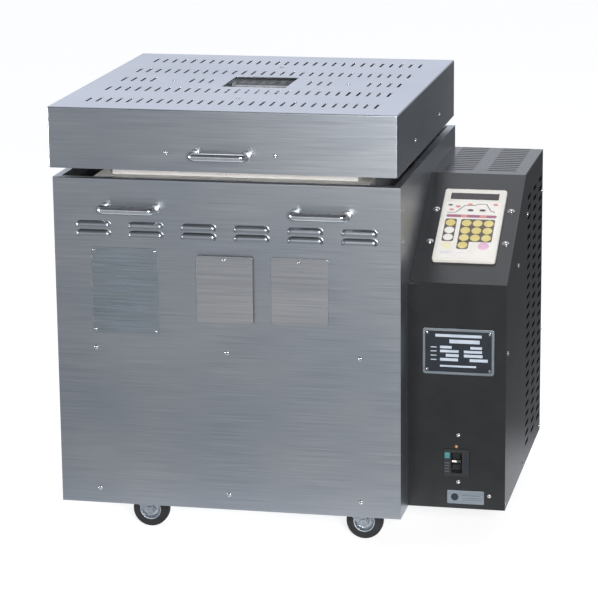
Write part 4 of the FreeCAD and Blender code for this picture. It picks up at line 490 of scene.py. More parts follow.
# %% [markdown]
# ### Printed films and inks
# The controller's face is a polyester film printed from behind, with embossed keys: flat
# colours under a satin skin. The dark display window is tinted acrylic, smooth and glossy,
# and the pilot lamp a small amber lens. The plates' inks are screen-printed and duller.

# %% Printed films and inks


def ink(name, dark, light, low=0.3, high=0.42):
    """A printed colour, with a grain too fine to be felt."""
    return moulded(name, dark, light, low, high, 1200, 0.00005, 0.1)


film_white = ink("printed_film_white", "#F4EFE8", "#FBF7F1")
film_dark = ink("printed_film_dark", "#5C534B", "#675D54")
film_line = ink("printed_line_grey", "#4B4A4C", "#585759")
film_red = ink("printed_film_red", "#D98C86", "#E5A49B")
film_plum = ink("printed_film_plum", "#9C5F78", "#B4748A")
key_yellow = ink("key_film_yellow", "#E0CE7E", "#EBDC96")
key_cream = ink("key_film_cream", "#F1EBC0", "#F7F2D2")
key_pink = ink("key_film_pink", "#E6B4D2", "#EFC4DD")
plate_pale = ink("printed_plate_pale", "#B9C4D2", "#C9D3DE")
plate_black = ink("printed_plate_black", "#1A2028", "#222932")
etched = ink("etched_line", "#5F6A75", "#6F7A84", 0.5, 0.6)
teal_label = ink("teal_label", "#3F7F80", "#4C8F8F")
amber_lamp = moulded("amber_pilot_lens", "#C08448", "#D69A5C", 0.2, 0.3, 900, 0.0001,
                     Coat_Weight=0.5)
display_lens = moulded("smoked_acrylic_window", "#24191C", "#2E2125", 0.08, 0.14, 300, 0.00002,
                       0.05)
print("materials:", len(bpy.data.materials))

# %% [markdown]
# ## Lid
# The lid is one sheet folded into a shallow pan, open below. Its top has five rows of narrow
# slots around a square opening, through which the vent and its damper show. The outline's
# rings run from the flat top over the bend and down the sides, and the top is filled between
# the innermost ring and the slots.

# %% Lid shell
LID_CORNER = 3.0
FOLD_RADIUS = 2.0
SHEET = 1.2
SLOT_PITCH = 17.8
SLOTS = 29
SLOT_WIDE, SLOT_LONG = 4.4, 44
VENT_WIDE, VENT_LONG = 114, 116
lid_size = LID_HIGH - LID_LOW
lid_middle = (LID_HIGH + LID_LOW) / 2


def slots(centres, width, length):
    """Round-ended slots, as loops of (u, v) points about each centre."""
    return [rounded_loop(width, length, min(width, length) / 2 - 0.01, 4, centre)
            for centre in centres]


def folded_pan(width, height, depth, corner, fold, finish_face, finish_side, holes):
    """A pan seen from outside: rings of the outline go round the fold by a quarter circle and
    straight down the sides, and the face is filled inside the first ring."""
    turn = np.linspace(0, np.pi / 2, 5)
    insets = np.r_[fold + MARGIN, fold * (1 - np.sin(turn)), 0, 0]
    heights = np.r_[0, -fold * (1 - np.cos(turn)), -fold - MARGIN, -depth]
    loops = [rounded_loop(width - 2 * inset, height - 2 * inset, max(corner - inset, 0.1), 5)
             for inset in insets]
    return [rings(loops, heights, finish_side), flat([loops[0], *holes], 0, finish_face)]


row_x = (np.arange(SLOTS) - (SLOTS - 1) / 2) * SLOT_PITCH
middle_row = np.r_[0:4, 7:10, 19:22, 25:29]
slot_centres = [(x, y) for y in (-222, -102, 102, 222) for x in row_x]
slot_centres += [(x, 0.0) for x in row_x[middle_row]]
lid_holes = slots(slot_centres, SLOT_WIDE, SLOT_LONG)
lid_holes += [rounded_loop(VENT_WIDE, VENT_LONG, 1.5, 3)]
lid_blocks = placed(folded_pan(*lid_size, LID_CORNER, FOLD_RADIUS, 0, 1, lid_holes),
                    facing("top", (lid_middle[0], lid_middle[1], LID_HIGH[2])))
# The top face gets the steel painted lighter and bluer, a painted reflection; the sides get the
# wall steel.
piece("lid_shell", lid_blocks, [steel_top_painted_lighter, steel_wall], "lid", ["lid_casing"],
      sheet=SHEET)

# %% [markdown]
# ## Front sheet
# The front sheet is flat, with its top folded inwards and two rows of six pressed louvres.
# A louvre is a capsule pressed out of the sheet and cut open along its lower lip. Its height
# over the sheet is the top of a circle: the square root of radius squared less distance
# squared, less what lies behind the sheet, with its foot smoothed into the flat.

# %% Front sheet with pressed louvres
PRESS_RADIUS, PRESS_BELOW, PRESS_HALF = 7.5, 2.5, 23.2
LOUVRE_X = (np.arange(6) - 2.5) * 92.1
LOUVRE_Z = CASING_HIGH[2] - 96.7 + np.array([0, 15.6])
PATCH_U = np.r_[np.linspace(-33, -20, 11), np.linspace(-12, 12, 4), np.linspace(20, 33, 11)]
LIP = -4.5
PATCH_UP = np.r_[np.linspace(LIP, 7.7, 14), 8.7]
PATCH_DOWN = np.r_[-6.7, LIP]


def louvre_height(u, v):
    """How far the louvre stands out at (u, v) from its middle: the height of a capsule whose
    axis lies behind the sheet, where that is above zero."""
    away = np.hypot(np.maximum(np.abs(u) - PRESS_HALF, 0), v)
    rise = np.sqrt(np.maximum(PRESS_RADIUS ** 2 - away ** 2, 0)) - PRESS_BELOW
    return np.where(rise > 0, np.hypot(rise, 0.5) - 0.5 * np.exp(-rise), 0)


def louvre_blocks():
    """The pressed part and the flat strip below its lip, as two grids that meet at the ends."""
    blocks = []
    for rows, pressed in ((PATCH_UP, True), (PATCH_DOWN, False)):
        v, u = np.meshgrid(rows, PATCH_U, indexing="ij")
        height = louvre_height(u, v) if pressed else np.zeros_like(u)
        blocks.append(grid(np.stack([u, v, height], -1)))
    return blocks


def patch_loop(x, z):
    """The border of a louvre's patch, with the same points as its grids."""
    rows = np.unique(np.r_[PATCH_DOWN, PATCH_UP])
    low = np.c_[PATCH_U, np.full(len(PATCH_U), rows[0])]
    high = np.c_[PATCH_U, np.full(len(PATCH_U), rows[-1])]
    right = np.c_[np.full(len(rows) - 2, PATCH_U[-1]), rows[1:-1]]
    left = np.c_[np.full(len(rows) - 2, PATCH_U[0]), rows[1:-1]]
    return np.vstack([low, right, high[::-1], left[::-1]]) + (x, z)


# The viewing ports' height, and for each its place across and how far its cover stands off.
PORT_Z, PORT_RADIUS = CASING_HIGH[2] - 165, 24
PORTS = ((-1.0, 5.6), (127.5, 0.3))
face_top = CASING_HIGH[2] - FOLD_RADIUS
outline = np.array([(CASING_LOW[0], CASING_LOW[2]), (CASING_HIGH[0], CASING_LOW[2]),
                    (CASING_HIGH[0], face_top - MARGIN), (CASING_LOW[0], face_top - MARGIN)])
louvres = [(x, z) for x in LOUVRE_X for z in LOUVRE_Z]
front_holes = [patch_loop(x, z) for x, z in louvres]
front_holes += [circle_loop(PORT_RADIUS) + (x, PORT_Z) for x, _ in PORTS]
front_blocks = placed([flat([outline, *front_holes])], facing("front", (0, 0, 0)))
front_blocks += stamped(louvre_blocks(), [("front", (x, 0, z)) for x, z in louvres])
turn = np.linspace(0, np.pi / 2, 5)
fold_y = np.r_[0, FOLD_RADIUS * (1 - np.cos(turn)), FOLD_RADIUS + MARGIN, TOP_FLANGE]
fold_z = np.r_[face_top - MARGIN, face_top + FOLD_RADIUS * np.sin(turn), CASING_HIGH[2],
               CASING_HIGH[2]]
fold = np.stack([np.c_[np.full(len(fold_y), x), fold_y, fold_z]
                 for x in (CASING_LOW[0], CASING_HIGH[0])])
front_blocks.append(grid(fold))
piece("front_sheet", front_blocks, [steel_wall], "kiln", ["front_panel"],
      sheet=SHEET)

# %% [markdown]
# ## Handles
# Each pull handle is a 15 mm tube bent twice into a D, chrome plated, and held from behind
# through a turned collar at each foot. Its line is straight out, round a quarter circle,
# along, and back. A bevelled curve would do as well; the sweep is used because its rings
# stand square to the line, also in the bends.

# %% Pull handles
HANDLE = {"half": 45.0, "reach": 24.2, "bend": 8.4, "bar": 7.6}
COLLAR = [(5, 0), (8.6, 0), (8.6, 0.9), (8.3, 1.3), (7.8, 1.5), (5, 1.5)]
PULL_X, PULL_DOWN, LID_PULL_UP = 165.5, 50, 30


def bent_line(half, reach, bend, steps=9):
    """Half of a D mirrored: out from the panel, a quarter circle, then along the front."""
    turn = np.linspace(0, np.pi / 2, steps)
    u = -half + bend * (1 - np.cos(turn))
    out = reach - bend + bend * np.sin(turn)
    rise = np.linspace(0, reach - bend, 4)[:-1]
    first = np.c_[np.r_[np.full(3, -half), u], np.zeros(steps + 3), np.r_[rise, out]]
    return np.vstack([first, first[::-1] * (-1, 1, 1)])


def handle_blocks():
    """The bar as a round section carried along the bent line, and a turned collar per foot."""
    bar = sweep(bent_line(HANDLE["half"], HANDLE["reach"], HANDLE["bend"]), (0, 1, 0),
                circle_loop(HANDLE["bar"], 24))
    feet = [block for x in (-HANDLE["half"], HANDLE["half"])
            for block in placed([turned(COLLAR)], lambda points, x=x: points + (x, 0, 0))]
    return [bar] + feet


pull_z = CASING_HIGH[2] - PULL_DOWN
piece("casing_pulls",
      stamped(handle_blocks(), [("front", (x, 0, pull_z)) for x in (-PULL_X, PULL_X)]),
      [chrome], "kiln", ["body_handles"])
piece("lid_pull",
      stamped(handle_blocks(), [("front", (0, LID_LOW[1], LID_LOW[2] + LID_PULL_UP))]),
      [chrome], "lid", ["lid_handle"])

# %% [markdown]
# ## Screws and rivets
# The screws are pan heads with a cross recess. The head is a dome over a polar grid, and the
# cross is pressed into it where both arms' distances are small. Rivets are plain low domes.
# A cut with a Boolean would give a sharper cross, with far more faces for a head 8 mm wide.

# %% Screws and rivets
CROSS_HALF, CROSS_REACH, CROSS_SLOPE, CROSS_DEPTH = 0.16, 0.62, 0.12, 0.55


def pan_head(radius, height, recess=True, rings=7, count=24):
    """A dome that falls from its middle by the fourth power of distance over radius, with a
    cross-shaped hollow whose walls slope."""
    part = np.linspace(1, 0, rings)[:, None] ** 0.8
    angle = np.linspace(0, 2 * np.pi, count, endpoint=False)[None]
    u, v = radius * part * np.cos(angle), radius * part * np.sin(angle)
    dome = height * (1 - 0.75 * part ** 3.2) * np.ones_like(angle)
    if recess:
        along, up = np.abs(u) / radius, np.abs(v) / radius
        arm = np.minimum(np.maximum(along - CROSS_HALF, up - CROSS_REACH),
                         np.maximum(up - CROSS_HALF, along - CROSS_REACH))
        dome = dome - np.clip(-arm / CROSS_SLOPE, 0, 1) * height * CROSS_DEPTH
    rim = np.stack([u[0], v[0], np.zeros(count)], -1)[None]
    return grid(np.concatenate([rim, np.stack([u, v, dome], -1)]), around=True)


CASING_ROWS = CASING_LOW[2] + np.array([26.5, 280])
ACROSS = (-231, 0, 231)
casing_places = [(side, (x, y, z)) for side, y in (("front", 0), ("back", CASING_HIGH[1]))
                 for z in CASING_ROWS for x in ACROSS]
casing_places += [("left", (CASING_LOW[0], y, z)) for z in CASING_ROWS for y in (69, 531)]
casing_places += [("right", (CASING_HIGH[0], 26, CASING_HIGH[2] - down))
                  for down in (44.4, 99.1)]
casing_head = pan_head(4, 2)
piece("casing_screw_heads", stamped([casing_head], casing_places), [bright_screw], "kiln",
      ["casing_screws"], sharp=50)

screw_z = LID_LOW[2] + 31
lid_y = lid_middle[1]
lid_places = [(side, (x, y, screw_z)) for side, y in (("front", LID_LOW[1]),
                                                      ("back", LID_HIGH[1]))
              for x in (-93.5, 93.5)]
lid_places += [(side, (x, lid_y + y, screw_z)) for side, x in (("left", LID_LOW[0]),
                                                               ("right", LID_HIGH[0]))
               for y in (-130, 130)]
lid_places += [("top", (x, lid_y, LID_HIGH[2])) for x in (-158, 158)]
lid_places += [("top", (0, lid_y + y, LID_HIGH[2])) for y in (-174, 174)]
piece("lid_screw_heads", stamped([casing_head], lid_places), [bright_screw], "lid",
      ["lid_screws"], sharp=50)

# %% [markdown]
# ## Plates on the front
# A thin riveted plate sits at the upper left, with four groups of plain etched rules, divided
# by longer ones. Two covers hang from pivots over the
# viewing ports. The left one stands off the sheet, so that it swings clear of the louvres.
# All are the same plate with a curved edge, because that edge is what catches the light. The
# covers are pieces of their own, so that each rides on the body that swings.

# %% Riveted plate and port covers
LABEL = {"x": -235.2, "width": 117.0, "tall": 150.0, "inset": 5.0}
COVER = {"width": 98, "tall": 116, "thick": 1.2, "above_pivot": 6.5}
label_z = CASING_HIGH[2] - 119.6 - LABEL["tall"]
on_label = facing("front", (LABEL["x"], 0, label_z))


def printed(rectangles, height, finish):
    """Printed areas on a face: flat rectangles (u, v, width, tall) just above it."""
    corners = np.array([(0, 0), (1, 0), (1, 1), (0, 1)])
    return [flat([corners * (width, tall) + (u, v)], height, finish)
            for u, v, width, tall in rectangles]


rules = [(8, v, 101, 0.9) for v in (39, 76, 113)]
rules += [(30, base - down, length, 1.6) for base in (145, 108, 71, 34)
          for down, length in ((9, 62), (16, 74), (23, 70), (30, 52))]
label_blocks = plate(LABEL["width"], LABEL["tall"], 0.9, 2, 0.3) + printed(rules, 0.97, 1)
piece("riveted_plate", placed(label_blocks, on_label), [plate_metal, etched], "kiln",
      ["label_plate"])

PIVOT_Z = PORT_Z + 31.5
cover = plate(COVER["width"], COVER["tall"], COVER["thick"], 4, 0.35)
cover_z = PIVOT_Z + COVER["above_pivot"] - COVER["tall"]
for side, (x, standoff) in zip(("left", "right"), PORTS):
    piece(f"{side}_cover_plate",
          placed(cover, facing("front", (x - COVER["width"] / 2, -standoff, cover_z))),
          [cover_metal], f"{side}_cover", [f"{side}_port_cover"])

rivets = stamped([pan_head(2.6, 1.3, recess=False)],
                 [("front", (x, -1, z))
                  for x in (LABEL["x"] + LABEL["inset"],
                            LABEL["x"] + LABEL["width"] - LABEL["inset"])
                  for z in (label_z + LABEL["inset"],
                            label_z + LABEL["tall"] - LABEL["inset"])])
for x, standoff in PORTS:
    shank = standoff + COVER["thick"] + 0.2
    rivets += stamped([pan_head(3.2, 2.0, recess=False)], [("front", (x, -shank, PIVOT_Z))])
    bush = turned([(0, 0), (4, 0), (4, standoff - 0.2), (2, standoff - 0.2), (2, shank)], 24)
    rivets += stamped([bush], [("front", (x, 0, PIVOT_Z))])
piece("plate_rivet_heads", rivets, [bright_screw], "kiln", ["plate_rivets"],
      sharp=50)

# %% [markdown]
# ## Control box
# The box's front, slope and top are one black sheet with two bends. Its side panel is a flat
# sheet with three columns of 26 slots, and the chassis behind it carries the floor, the back
# and the wall against the kiln. The cover is laid as three flat parts joined by two bends. It
# could be a bent grid with slots cut by Booleans, but flat parts filled between loops keep
# the black gloss free of ripples.

# %% Control box cover
BOX_SHEET = 1.5
cover_left, cover_right = box_of("control_cover")[0][0], box_of("control_cover")[1][0]
BEND = 2.5


def bend_between(corner, before, after, radius, steps=5):
    """A bend where two flat parts meet at a corner: an arc that touches both. before and
    after are unit directions away from the corner, as (y, z) pairs."""
    before, after = np.array(before, float), np.array(after, float)
    half = np.arccos(np.clip(before @ after, -1, 1)) / 2
    reach = radius / np.tan(half)
    start, end = corner + before * reach, corner + after * reach
    centre = corner + (before + after) / np.linalg.norm(before + after) * radius / np.sin(half)
    first, last = start - centre, end - centre
    share = np.linspace(0, 1, steps + 1)[:, None]
    arc = first * (1 - share) + last * share
    arc = centre + radius * arc / np.linalg.norm(arc, axis=1, keepdims=True)
    return np.vstack([start + before * MARGIN, arc, end + after * MARGIN])


low_fold = bend_between(np.array([BOX_LOW[1], FOLD_Z]), (0, -1), (COS, SIN), BEND)
high_fold = bend_between(np.array([RIDGE_Y, BOX_HIGH[2]]), (-COS, -SIN), (1, 0), BEND)


def strip(line):
    """A line of (y, z) points carried from the cover's left edge to its right edge."""
    return grid(np.stack([np.c_[np.full(len(line), x), line]
                          for x in (cover_left, cover_right)]))


def rectangle(low, high):
    """The four corners between a lowest and a highest (u, v)."""
    return np.array([(low[0], low[1]), (high[0], low[1]), (high[0], high[1]),
                     (low[0], high[1])], float)


BREAKER_LOW, BREAKER_HIGH = box_of("breaker_body")
box_back = BOX_HIGH[1]
TOP_SLOT_LONG, TOP_SLOT_WIDE = 52, 5
top_rows = box_back - 7.5 - 17.5 * np.arange(13)
top_slots = slots([(BOX_LOW[0] + 44 + 76 * column, y) for column in range(2)
                   for y in top_rows], TOP_SLOT_LONG, TOP_SLOT_WIDE)
breaker_hole = rectangle((BREAKER_LOW[0] - 0.2, BREAKER_LOW[2] - 0.2),
                         (BREAKER_HIGH[0] + 0.2, BREAKER_HIGH[2] + 0.2))
front_part = flat([rectangle((cover_left, BOX_LOW[2]), (cover_right, low_fold[0][1])),
                   breaker_hole])
top_part = flat([rectangle((cover_left, high_fold[-1][0]), (cover_right, box_back)),
                 *top_slots])
cover_blocks = placed([front_part], facing("front", (0, BOX_LOW[1], 0)))
cover_blocks += placed([top_part], facing("top", (0, 0, BOX_HIGH[2])))
slope_line = np.array([low_fold[-1], high_fold[0]])
cover_blocks += [strip(line) for line in (low_fold, high_fold, slope_line)]
piece("control_box_cover", cover_blocks, [black_enamel], "kiln",
      ["control_cover"], sheet=BOX_SHEET)

# %% Control box side panel
side_loop = np.array([(BOX_LOW[1], BOX_LOW[2]), (box_back, BOX_LOW[2]),
                      (box_back, BOX_HIGH[2]), (RIDGE_Y, BOX_HIGH[2]), (BOX_LOW[1], FOLD_Z)])
SIDE_SLOT_LONG, SIDE_SLOT_WIDE = 45, 7
side_slots = slots([(box_back - 36 - 82 * column, BOX_LOW[2] + 35.6 + 18.25 * row)
                    for column in range(3) for row in range(26)], SIDE_SLOT_LONG, SIDE_SLOT_WIDE)
side_face = [side_loop, *side_slots]
side_blocks = [flat(side_face, BOX_SHEET), flat(side_face)]
side_blocks += [rings([loop, loop], (0, BOX_SHEET)) for loop in side_face]
piece("control_box_side", placed(side_blocks, facing("right", (BOX_HIGH[0] - BOX_SHEET, 0, 0))),
      [black_enamel], "kiln", ["control_side_panel"])

# %% Control box screws
SCREW_EDGE = 9.0
low, far = SCREW_EDGE, BOX_DEEP - SCREW_EDGE
upper = BOX_HIGH[2] - BOX_LOW[2] - 8.5 * SCREW_EDGE
side_screws = [(low, low), (BOX_DEEP / 2, low), (far, low), (2.5 * low, BOX_FRONT * 0.69),
               (far, BOX_FRONT / 2), (BOX_RIDGE * 0.62, BOX_FRONT),
               (BOX_RIDGE + 3 * low, upper), (far, upper)]
box_places = [("right", (BOX_HIGH[0], BOX_LOW[1] + y, BOX_LOW[2] + z)) for y, z in side_screws]
breaker_x = (BREAKER_LOW[0] + BREAKER_HIGH[0]) / 2
cover_screws = [(breaker_x + 2.5, BOX_LOW[2] + 132), (breaker_x + 3, BOX_LOW[2] + 48),
                (BOX_LOW[0] + 141, BOX_LOW[2] + 25)]
box_places += [("front", (x, BOX_LOW[1], z)) for x, z in cover_screws]
piece("box_screw_heads", stamped([casing_head], box_places), [bright_screw], "kiln",
      ["control_box_screws"], sharp=50)

# %% [markdown]
# ## Controller
# The controller is a white moulded housing let into the slope. A smoked window covers its
# display. Below it a printed film shows a plain firing curve, a coloured bar and domed keys.
# Prints are flat shapes a twentieth of a millimetre above
# the film, which keeps their edges sharp at any distance and needs no picture.

# %% Controller housing and window
PANEL_X, PANEL_UP = 32.5, 53.0
PANEL_WIDE, PANEL_TALL, PANEL_THICK = 109.0, 183.5, 7.0
on_panel = facing("slope", on_slope((PANEL_X, PANEL_UP, 0)))
WINDOW_AT, WINDOW_SIZE = np.array([12.0, 155.5]), np.array([84.5, 17.2])
LENS_GAP, LENS_UP = 0.2, 5.5
window_loop = rounded_loop(*WINDOW_SIZE, 1.2, 3, WINDOW_AT + WINDOW_SIZE / 2)
housing = plate(PANEL_WIDE, PANEL_TALL, PANEL_THICK, 5, 1.6, [window_loop])
piece("controller_case", placed(housing, on_panel), [white_plastic], "kiln",
      ["controller_housing"])
lens = plate(*(WINDOW_SIZE - 2 * LENS_GAP), 1.2, 1.0, 0.3)
piece("controller_window",
      placed(lens, lambda points: on_panel(points + (*(WINDOW_AT + LENS_GAP), LENS_UP))),
      [display_lens], "kiln", ["controller_display"])

# %% Printed film and keys
FILM = 0.5
INK = FILM + 0.05
film = placed(plate(97, 143.5, FILM, 3, 0.15), lambda points: points + (6, 6, 0))
film_finishes = [film_white, film_line, film_red, film_plum, film_dark, key_yellow, key_cream,
                 key_pink, plate_pale]
WHITE, LINE, RED, PLUM, DARK, YELLOW, CREAM, PINK, PALE = range(9)


def ribbon(line, width, height, finish):
    """A printed line: a strip of constant width along a line of (u, v) points."""
    line = np.asarray(line, float)
    ahead = np.gradient(line, axis=0)
    ahead /= np.linalg.norm(ahead, axis=1, keepdims=True)
    across = np.c_[-ahead[:, 1], ahead[:, 0]] * width / 2
    rows = np.stack([line - across, line + across])
    return grid(np.concatenate([rows, np.full((2, len(line), 1), height)], -1), finish=finish)


def spot(u, v, width, tall, height, finish):
    """A printed oval about (u, v)."""
    return flat([circle_loop(0.5, 20) * (width, tall) + (u, v)], height, finish)


curve = [(11.3, 119.9), (25.8, 120.7), (39.6, 139.0), (57.4, 139.6), (62.6, 143.3),
         (77.1, 144.0), (86.3, 126.7), (94, 123)]
film += [ribbon(curve, 1.5, INK, LINE)]
film += [flat([rounded_loop(88, 7, 3.4, 5, (54.6, 111.6))], INK, PLUM)]
film += printed([(36, 108.6, 11, 6), (69, 108.6, 12, 6)], INK + 0.03, RED)
film += [spot(u, v, 9, 6, INK, RED) for u, v in ((17.5, 127.5), (28, 136), (48.5, 142),
                                                (93, 143))]
film += [spot(u, v, 11, 6, INK, LINE) for u, v in ((51, 127), (72, 127.5))]
film += [spot(14.5, 139.5, 8, 4.5, INK, LINE)]

# %% Domed keys
# Keys in three columns and three rows on a dark field, with one more column to their left.
KEY, PITCH = 8.5, 19.2
columns = (48.5, 67.8, 87.0)
key_rows = (93.7, 74.7, 56.2)
left_keys = 20.7
fields = [(3 * PITCH + 1.5, 3 * PITCH + 0.5, (67.75, 74.9)),
          (PITCH + 1, PITCH + 4, (48.5, 38.6)),
          (PITCH + 1, 3 * PITCH + 0.5, (left_keys, 74.9))]
film += [flat([rounded_loop(width, tall, 4, 4, middle)], INK, DARK)
         for width, tall, middle in fields]
keys = [(u, v, KEY, YELLOW) for u in columns for v in key_rows]
keys += [(48.5, 37.4, KEY, YELLOW), (left_keys, 93.7, KEY, YELLOW), (left_keys, 74.5, KEY, WHITE),
         (left_keys, 56.5, KEY, WHITE), (left_keys, 35.2, KEY, CREAM), (84.8, 36.0, 9.5, PINK)]
for u, v, radius, finish in keys:
    dome = turned([(radius, 0), (radius * 0.97, 0.32), (radius * 0.85, 0.48),
                   (radius * 0.5, 0.56), (0, 0.58)], 28)
    film += placed([dome], lambda points, u=u, v=v: points + (u, v, FILM), finish)
film += printed([(13, 18, 22, 0.8), (13, 15.5, 16, 0.8), (40, 17, 14, 0.8)], INK, PALE)
piece("controller_film", placed(film, lambda points: on_panel(points + (0, 0, PANEL_THICK))),
      film_finishes, "kiln", ["controller_overlay"])
panel_places = [("slope", on_slope((u, PANEL_UP + v, 0))) for u in (22, 153) for v in (52, 135)]
washer = turned([(3, 0), (6.4, 0), (6.4, 0.7), (6.1, 1.0), (3, 1.0)], 24)
panel_head = placed([pan_head(4.8, 2.6)], lambda points: points + (0, 0, 0.9))
piece("controller_screw_heads", stamped([washer, *panel_head], panel_places), [bright_screw],
      "kiln", ["controller_screws"], sharp=50)

# %% [markdown]
# ## Nameplate, breaker and small plate
# The nameplate is an aluminium plate with a raised border and a black field, with a plain
# bar at its top and empty pale cells below. The border is what is left around a hole in the
# plate, and the field is a sheet inside that hole. Below it sit the breaker's face with its
# rocking lever, a pilot lamp and a small bare plate. The lever keeps its solid, because its
# shape is simple, and gets only a finish, rounded edges and a pale mark on its nose.

# %% Nameplate
NAME_LOW, NAME_HIGH = box_of("nameplate")
name_w, name_h = NAME_HIGH[0] - NAME_LOW[0], NAME_HIGH[2] - NAME_LOW[2]
on_name = facing("front", (NAME_LOW[0], BOX_LOW[1], NAME_LOW[2]))
name_middle = (name_w / 2, name_h / 2)
name_field = rounded_loop(name_w - 9, name_h - 9, 3, 5, name_middle)
name_blocks = plate(name_w, name_h, 2, 5, 0.5, [name_field])
name_blocks.append(flat([name_field], 1.0, 1))
cells = [(46, 55, 52, 6.5), (30, 45.5, 20, 4.5), (82, 45.5, 20, 4.5), (30, 38.5, 32, 4.5),
         (71, 38.5, 31, 4.5), (40, 31, 22, 5), (71, 31, 32, 5), (30, 23.5, 31, 5),
         (81, 23.5, 31, 5), (30, 13, 62, 3.2), (22, 65.5, name_w - 44, 5)]
lines = [(14, v, 10, 1.6) for v in (24.5, 32, 39.5, 46.5)]
name_blocks += printed(cells + lines, 1.08, 2)
piece("blank_nameplate", placed(name_blocks, on_name), [plate_metal, plate_black, plate_pale],
      "kiln", ["nameplate"])
name_screws = [("front", on_name((u, v, 0.9))) for u in (8, name_w - 8)
               for v in (8, name_h - 8)]
piece("nameplate_screw_heads", stamped([pan_head(2.6, 1.6)], name_screws), [bright_screw],
      "kiln", ["nameplate_screws"], sharp=50)

# %% Breaker face
breaker_w = BREAKER_HIGH[0] - BREAKER_LOW[0]
breaker_h = BREAKER_HIGH[2] - BREAKER_LOW[2]
breaker_middle = (breaker_w / 2, breaker_h / 2)
LEVER_RECESS = 20
slot_loop = rounded_loop(19.0, breaker_h * 0.76, 0.8, 3, breaker_middle)


def breaker_blocks():
    """The breaker's case from its face to its back, with the lever's deep recess."""
    depth = BREAKER_HIGH[1] - BREAKER_LOW[1]
    floor = depth - LEVER_RECESS
    edge = 0.6
    around, _, back = plate(breaker_w, breaker_h, depth, 1.2, edge)
    inset = edge + MARGIN
    outer = rounded_loop(breaker_w - 2 * inset, breaker_h - 2 * inset, 0.05, 5, breaker_middle)
    face = [around, flat([outer, slot_loop], depth), back,
            rings([slot_loop, slot_loop], (floor, depth)), flat([slot_loop], floor)]
    face += printed([(1.5, breaker_h * 0.66, 8.5, 10.5)], depth + 0.05, 1)
    face += printed([(1.5, v, 8, 0.9) for v in (8, 13, 18, 23)], depth + 0.05, 2)
    face += printed([(35, 8, 6, 30)], depth + 0.05, 3)
    return face


piece("breaker_case",
      placed(breaker_blocks(), facing("front", (BREAKER_LOW[0], BREAKER_HIGH[1],
                                                BREAKER_LOW[2]))),
      [black_plastic, teal_label, etched, plate_black], "kiln",
      ["breaker_body"])


# %% Breaker lever
finished = set()


def soften(node, finish, width):
    """Gives a CAD node a finish and, without touching its mesh, welds its triangles, drops
    the edges inside flat faces and rounds the sharp ones by modifiers."""
    finished.add(node)
    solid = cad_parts[node]
    solid.data.materials.clear()
    solid.data.materials.append(finish)
    if width:
        weld = solid.modifiers.new("weld", "WELD")
        weld.merge_threshold = WELD
        flatten = solid.modifiers.new("flat", "DECIMATE")
        flatten.decimate_type, flatten.angle_limit = "DISSOLVE", FLAT_WITHIN
        bevel = solid.modifiers.new("edge", "BEVEL")
        bevel.width, bevel.segments = width / 1000, 2
        bevel.limit_method, bevel.angle_limit = "ANGLE", np.radians(35)
        bevel.harden_normals = True
        bevel.loop_slide = False


soften("breaker_lever", black_plastic, 0.5)
lever_low, lever_high = box_of("breaker_lever")


def on_lever_nose(points):
    """Lays a flat mark on the nose of the lever, whose face leans back one in four: y grows by
    a quarter of the mark's own height."""
    u, v, out = points.T
    return np.c_[lever_low[0] + 11 + u, lever_low[1] + 0.1 + v / 4 - out, lever_high[2] - 3.6 + v]


piece("lever_mark", placed(plate(8, 3.2, 0.4, 0.5, 0.1), on_lever_nose), [white_plastic],
      "breaker_switch")

# %% Small plate and pilot lamp
small_plate = plate(64, 24, 0.8, 1.5, 0.25)
small_plate += printed([(26, 14.5, 30, 1.4), (26, 10, 34, 1.2), (26, 6.5, 34, 1.2)], 0.86, 1)
small_plate += [spot(13, 12, 13, 13, 0.86, 2)]
piece("small_bare_plate",
      placed(small_plate, facing("front", (BOX_LOW[0] + 68, BOX_LOW[1], BOX_LOW[2] + 8.5))),
      [plate_metal, etched, plate_black], "kiln")
lamp = turned([(2.6, 0), (2.6, 0.8), (2.0, 1.6), (0.9, 2.1), (0, 2.2)], 20)
piece("pilot_lamp", stamped([lamp], [("front", (breaker_x - 0.5, BOX_LOW[1],
                                               BREAKER_HIGH[2] + 5))]),
      [amber_lamp], "kiln")

# %% [markdown]
# ## Casters
# Four swivel casters: a rubber tyre on a pressed hub, in a pressed steel fork. The tyre's
# outline is turned about the axle, with a shallow groove round each of its sides. A torus
# would be quicker but has no flat tread. The fork and the top plate keep their CAD solids
# with rounded edges.

# %% Casters
TYRE = [(19, -10.4), (19.6, -11), (27, -11), (27.6, -10.6), (28.4, -10.6), (29.2, -10.9),
        (30.6, -10.1), (31.7, -8.4), (32.3, -6), (32.5, -3), (32.5, 3), (32.3, 6),
        (31.7, 8.4), (30.6, 10.1), (29.2, 10.9), (28.4, 10.6), (27.6, 10.6), (27, 11),
        (19.6, 11), (19, 10.4)]
HUB = [(4.1, -13.4), (7.2, -13.4), (7.8, -12.8), (8.2, -5), (9, -4), (13, -3.6), (15.4, -5),
       (16.6, -8.2), (17.2, -10.6), (18.9, -10.9), (18.9, 10.9), (17.2, 10.6), (16.6, 8.2),
       (15.4, 5), (13, 3.6), (9, 4), (8.2, 5), (7.8, 12.8), (7.2, 13.4), (4.1, 13.4)]
for corner in ("front_left", "front_right", "rear_left", "rear_right"):
    low, high = box_of("tyre_" + corner)
    axle = (low + high) / 2
    for part, profile, finish, slot_name in (("tyre", TYRE, rubber, "rubber"),
                                             ("hub", HUB, hub_zinc, "hub_zinc")):
        ring = turned(profile, 64, closed=True)
        piece(f"{part}_of_{corner}", placed([ring], facing("front", axle)), [finish],
              "wheel_" + corner, [f"{part}_{corner}"], sharp=40)
    soften("fork_" + corner, zinc_steel, 0.5)

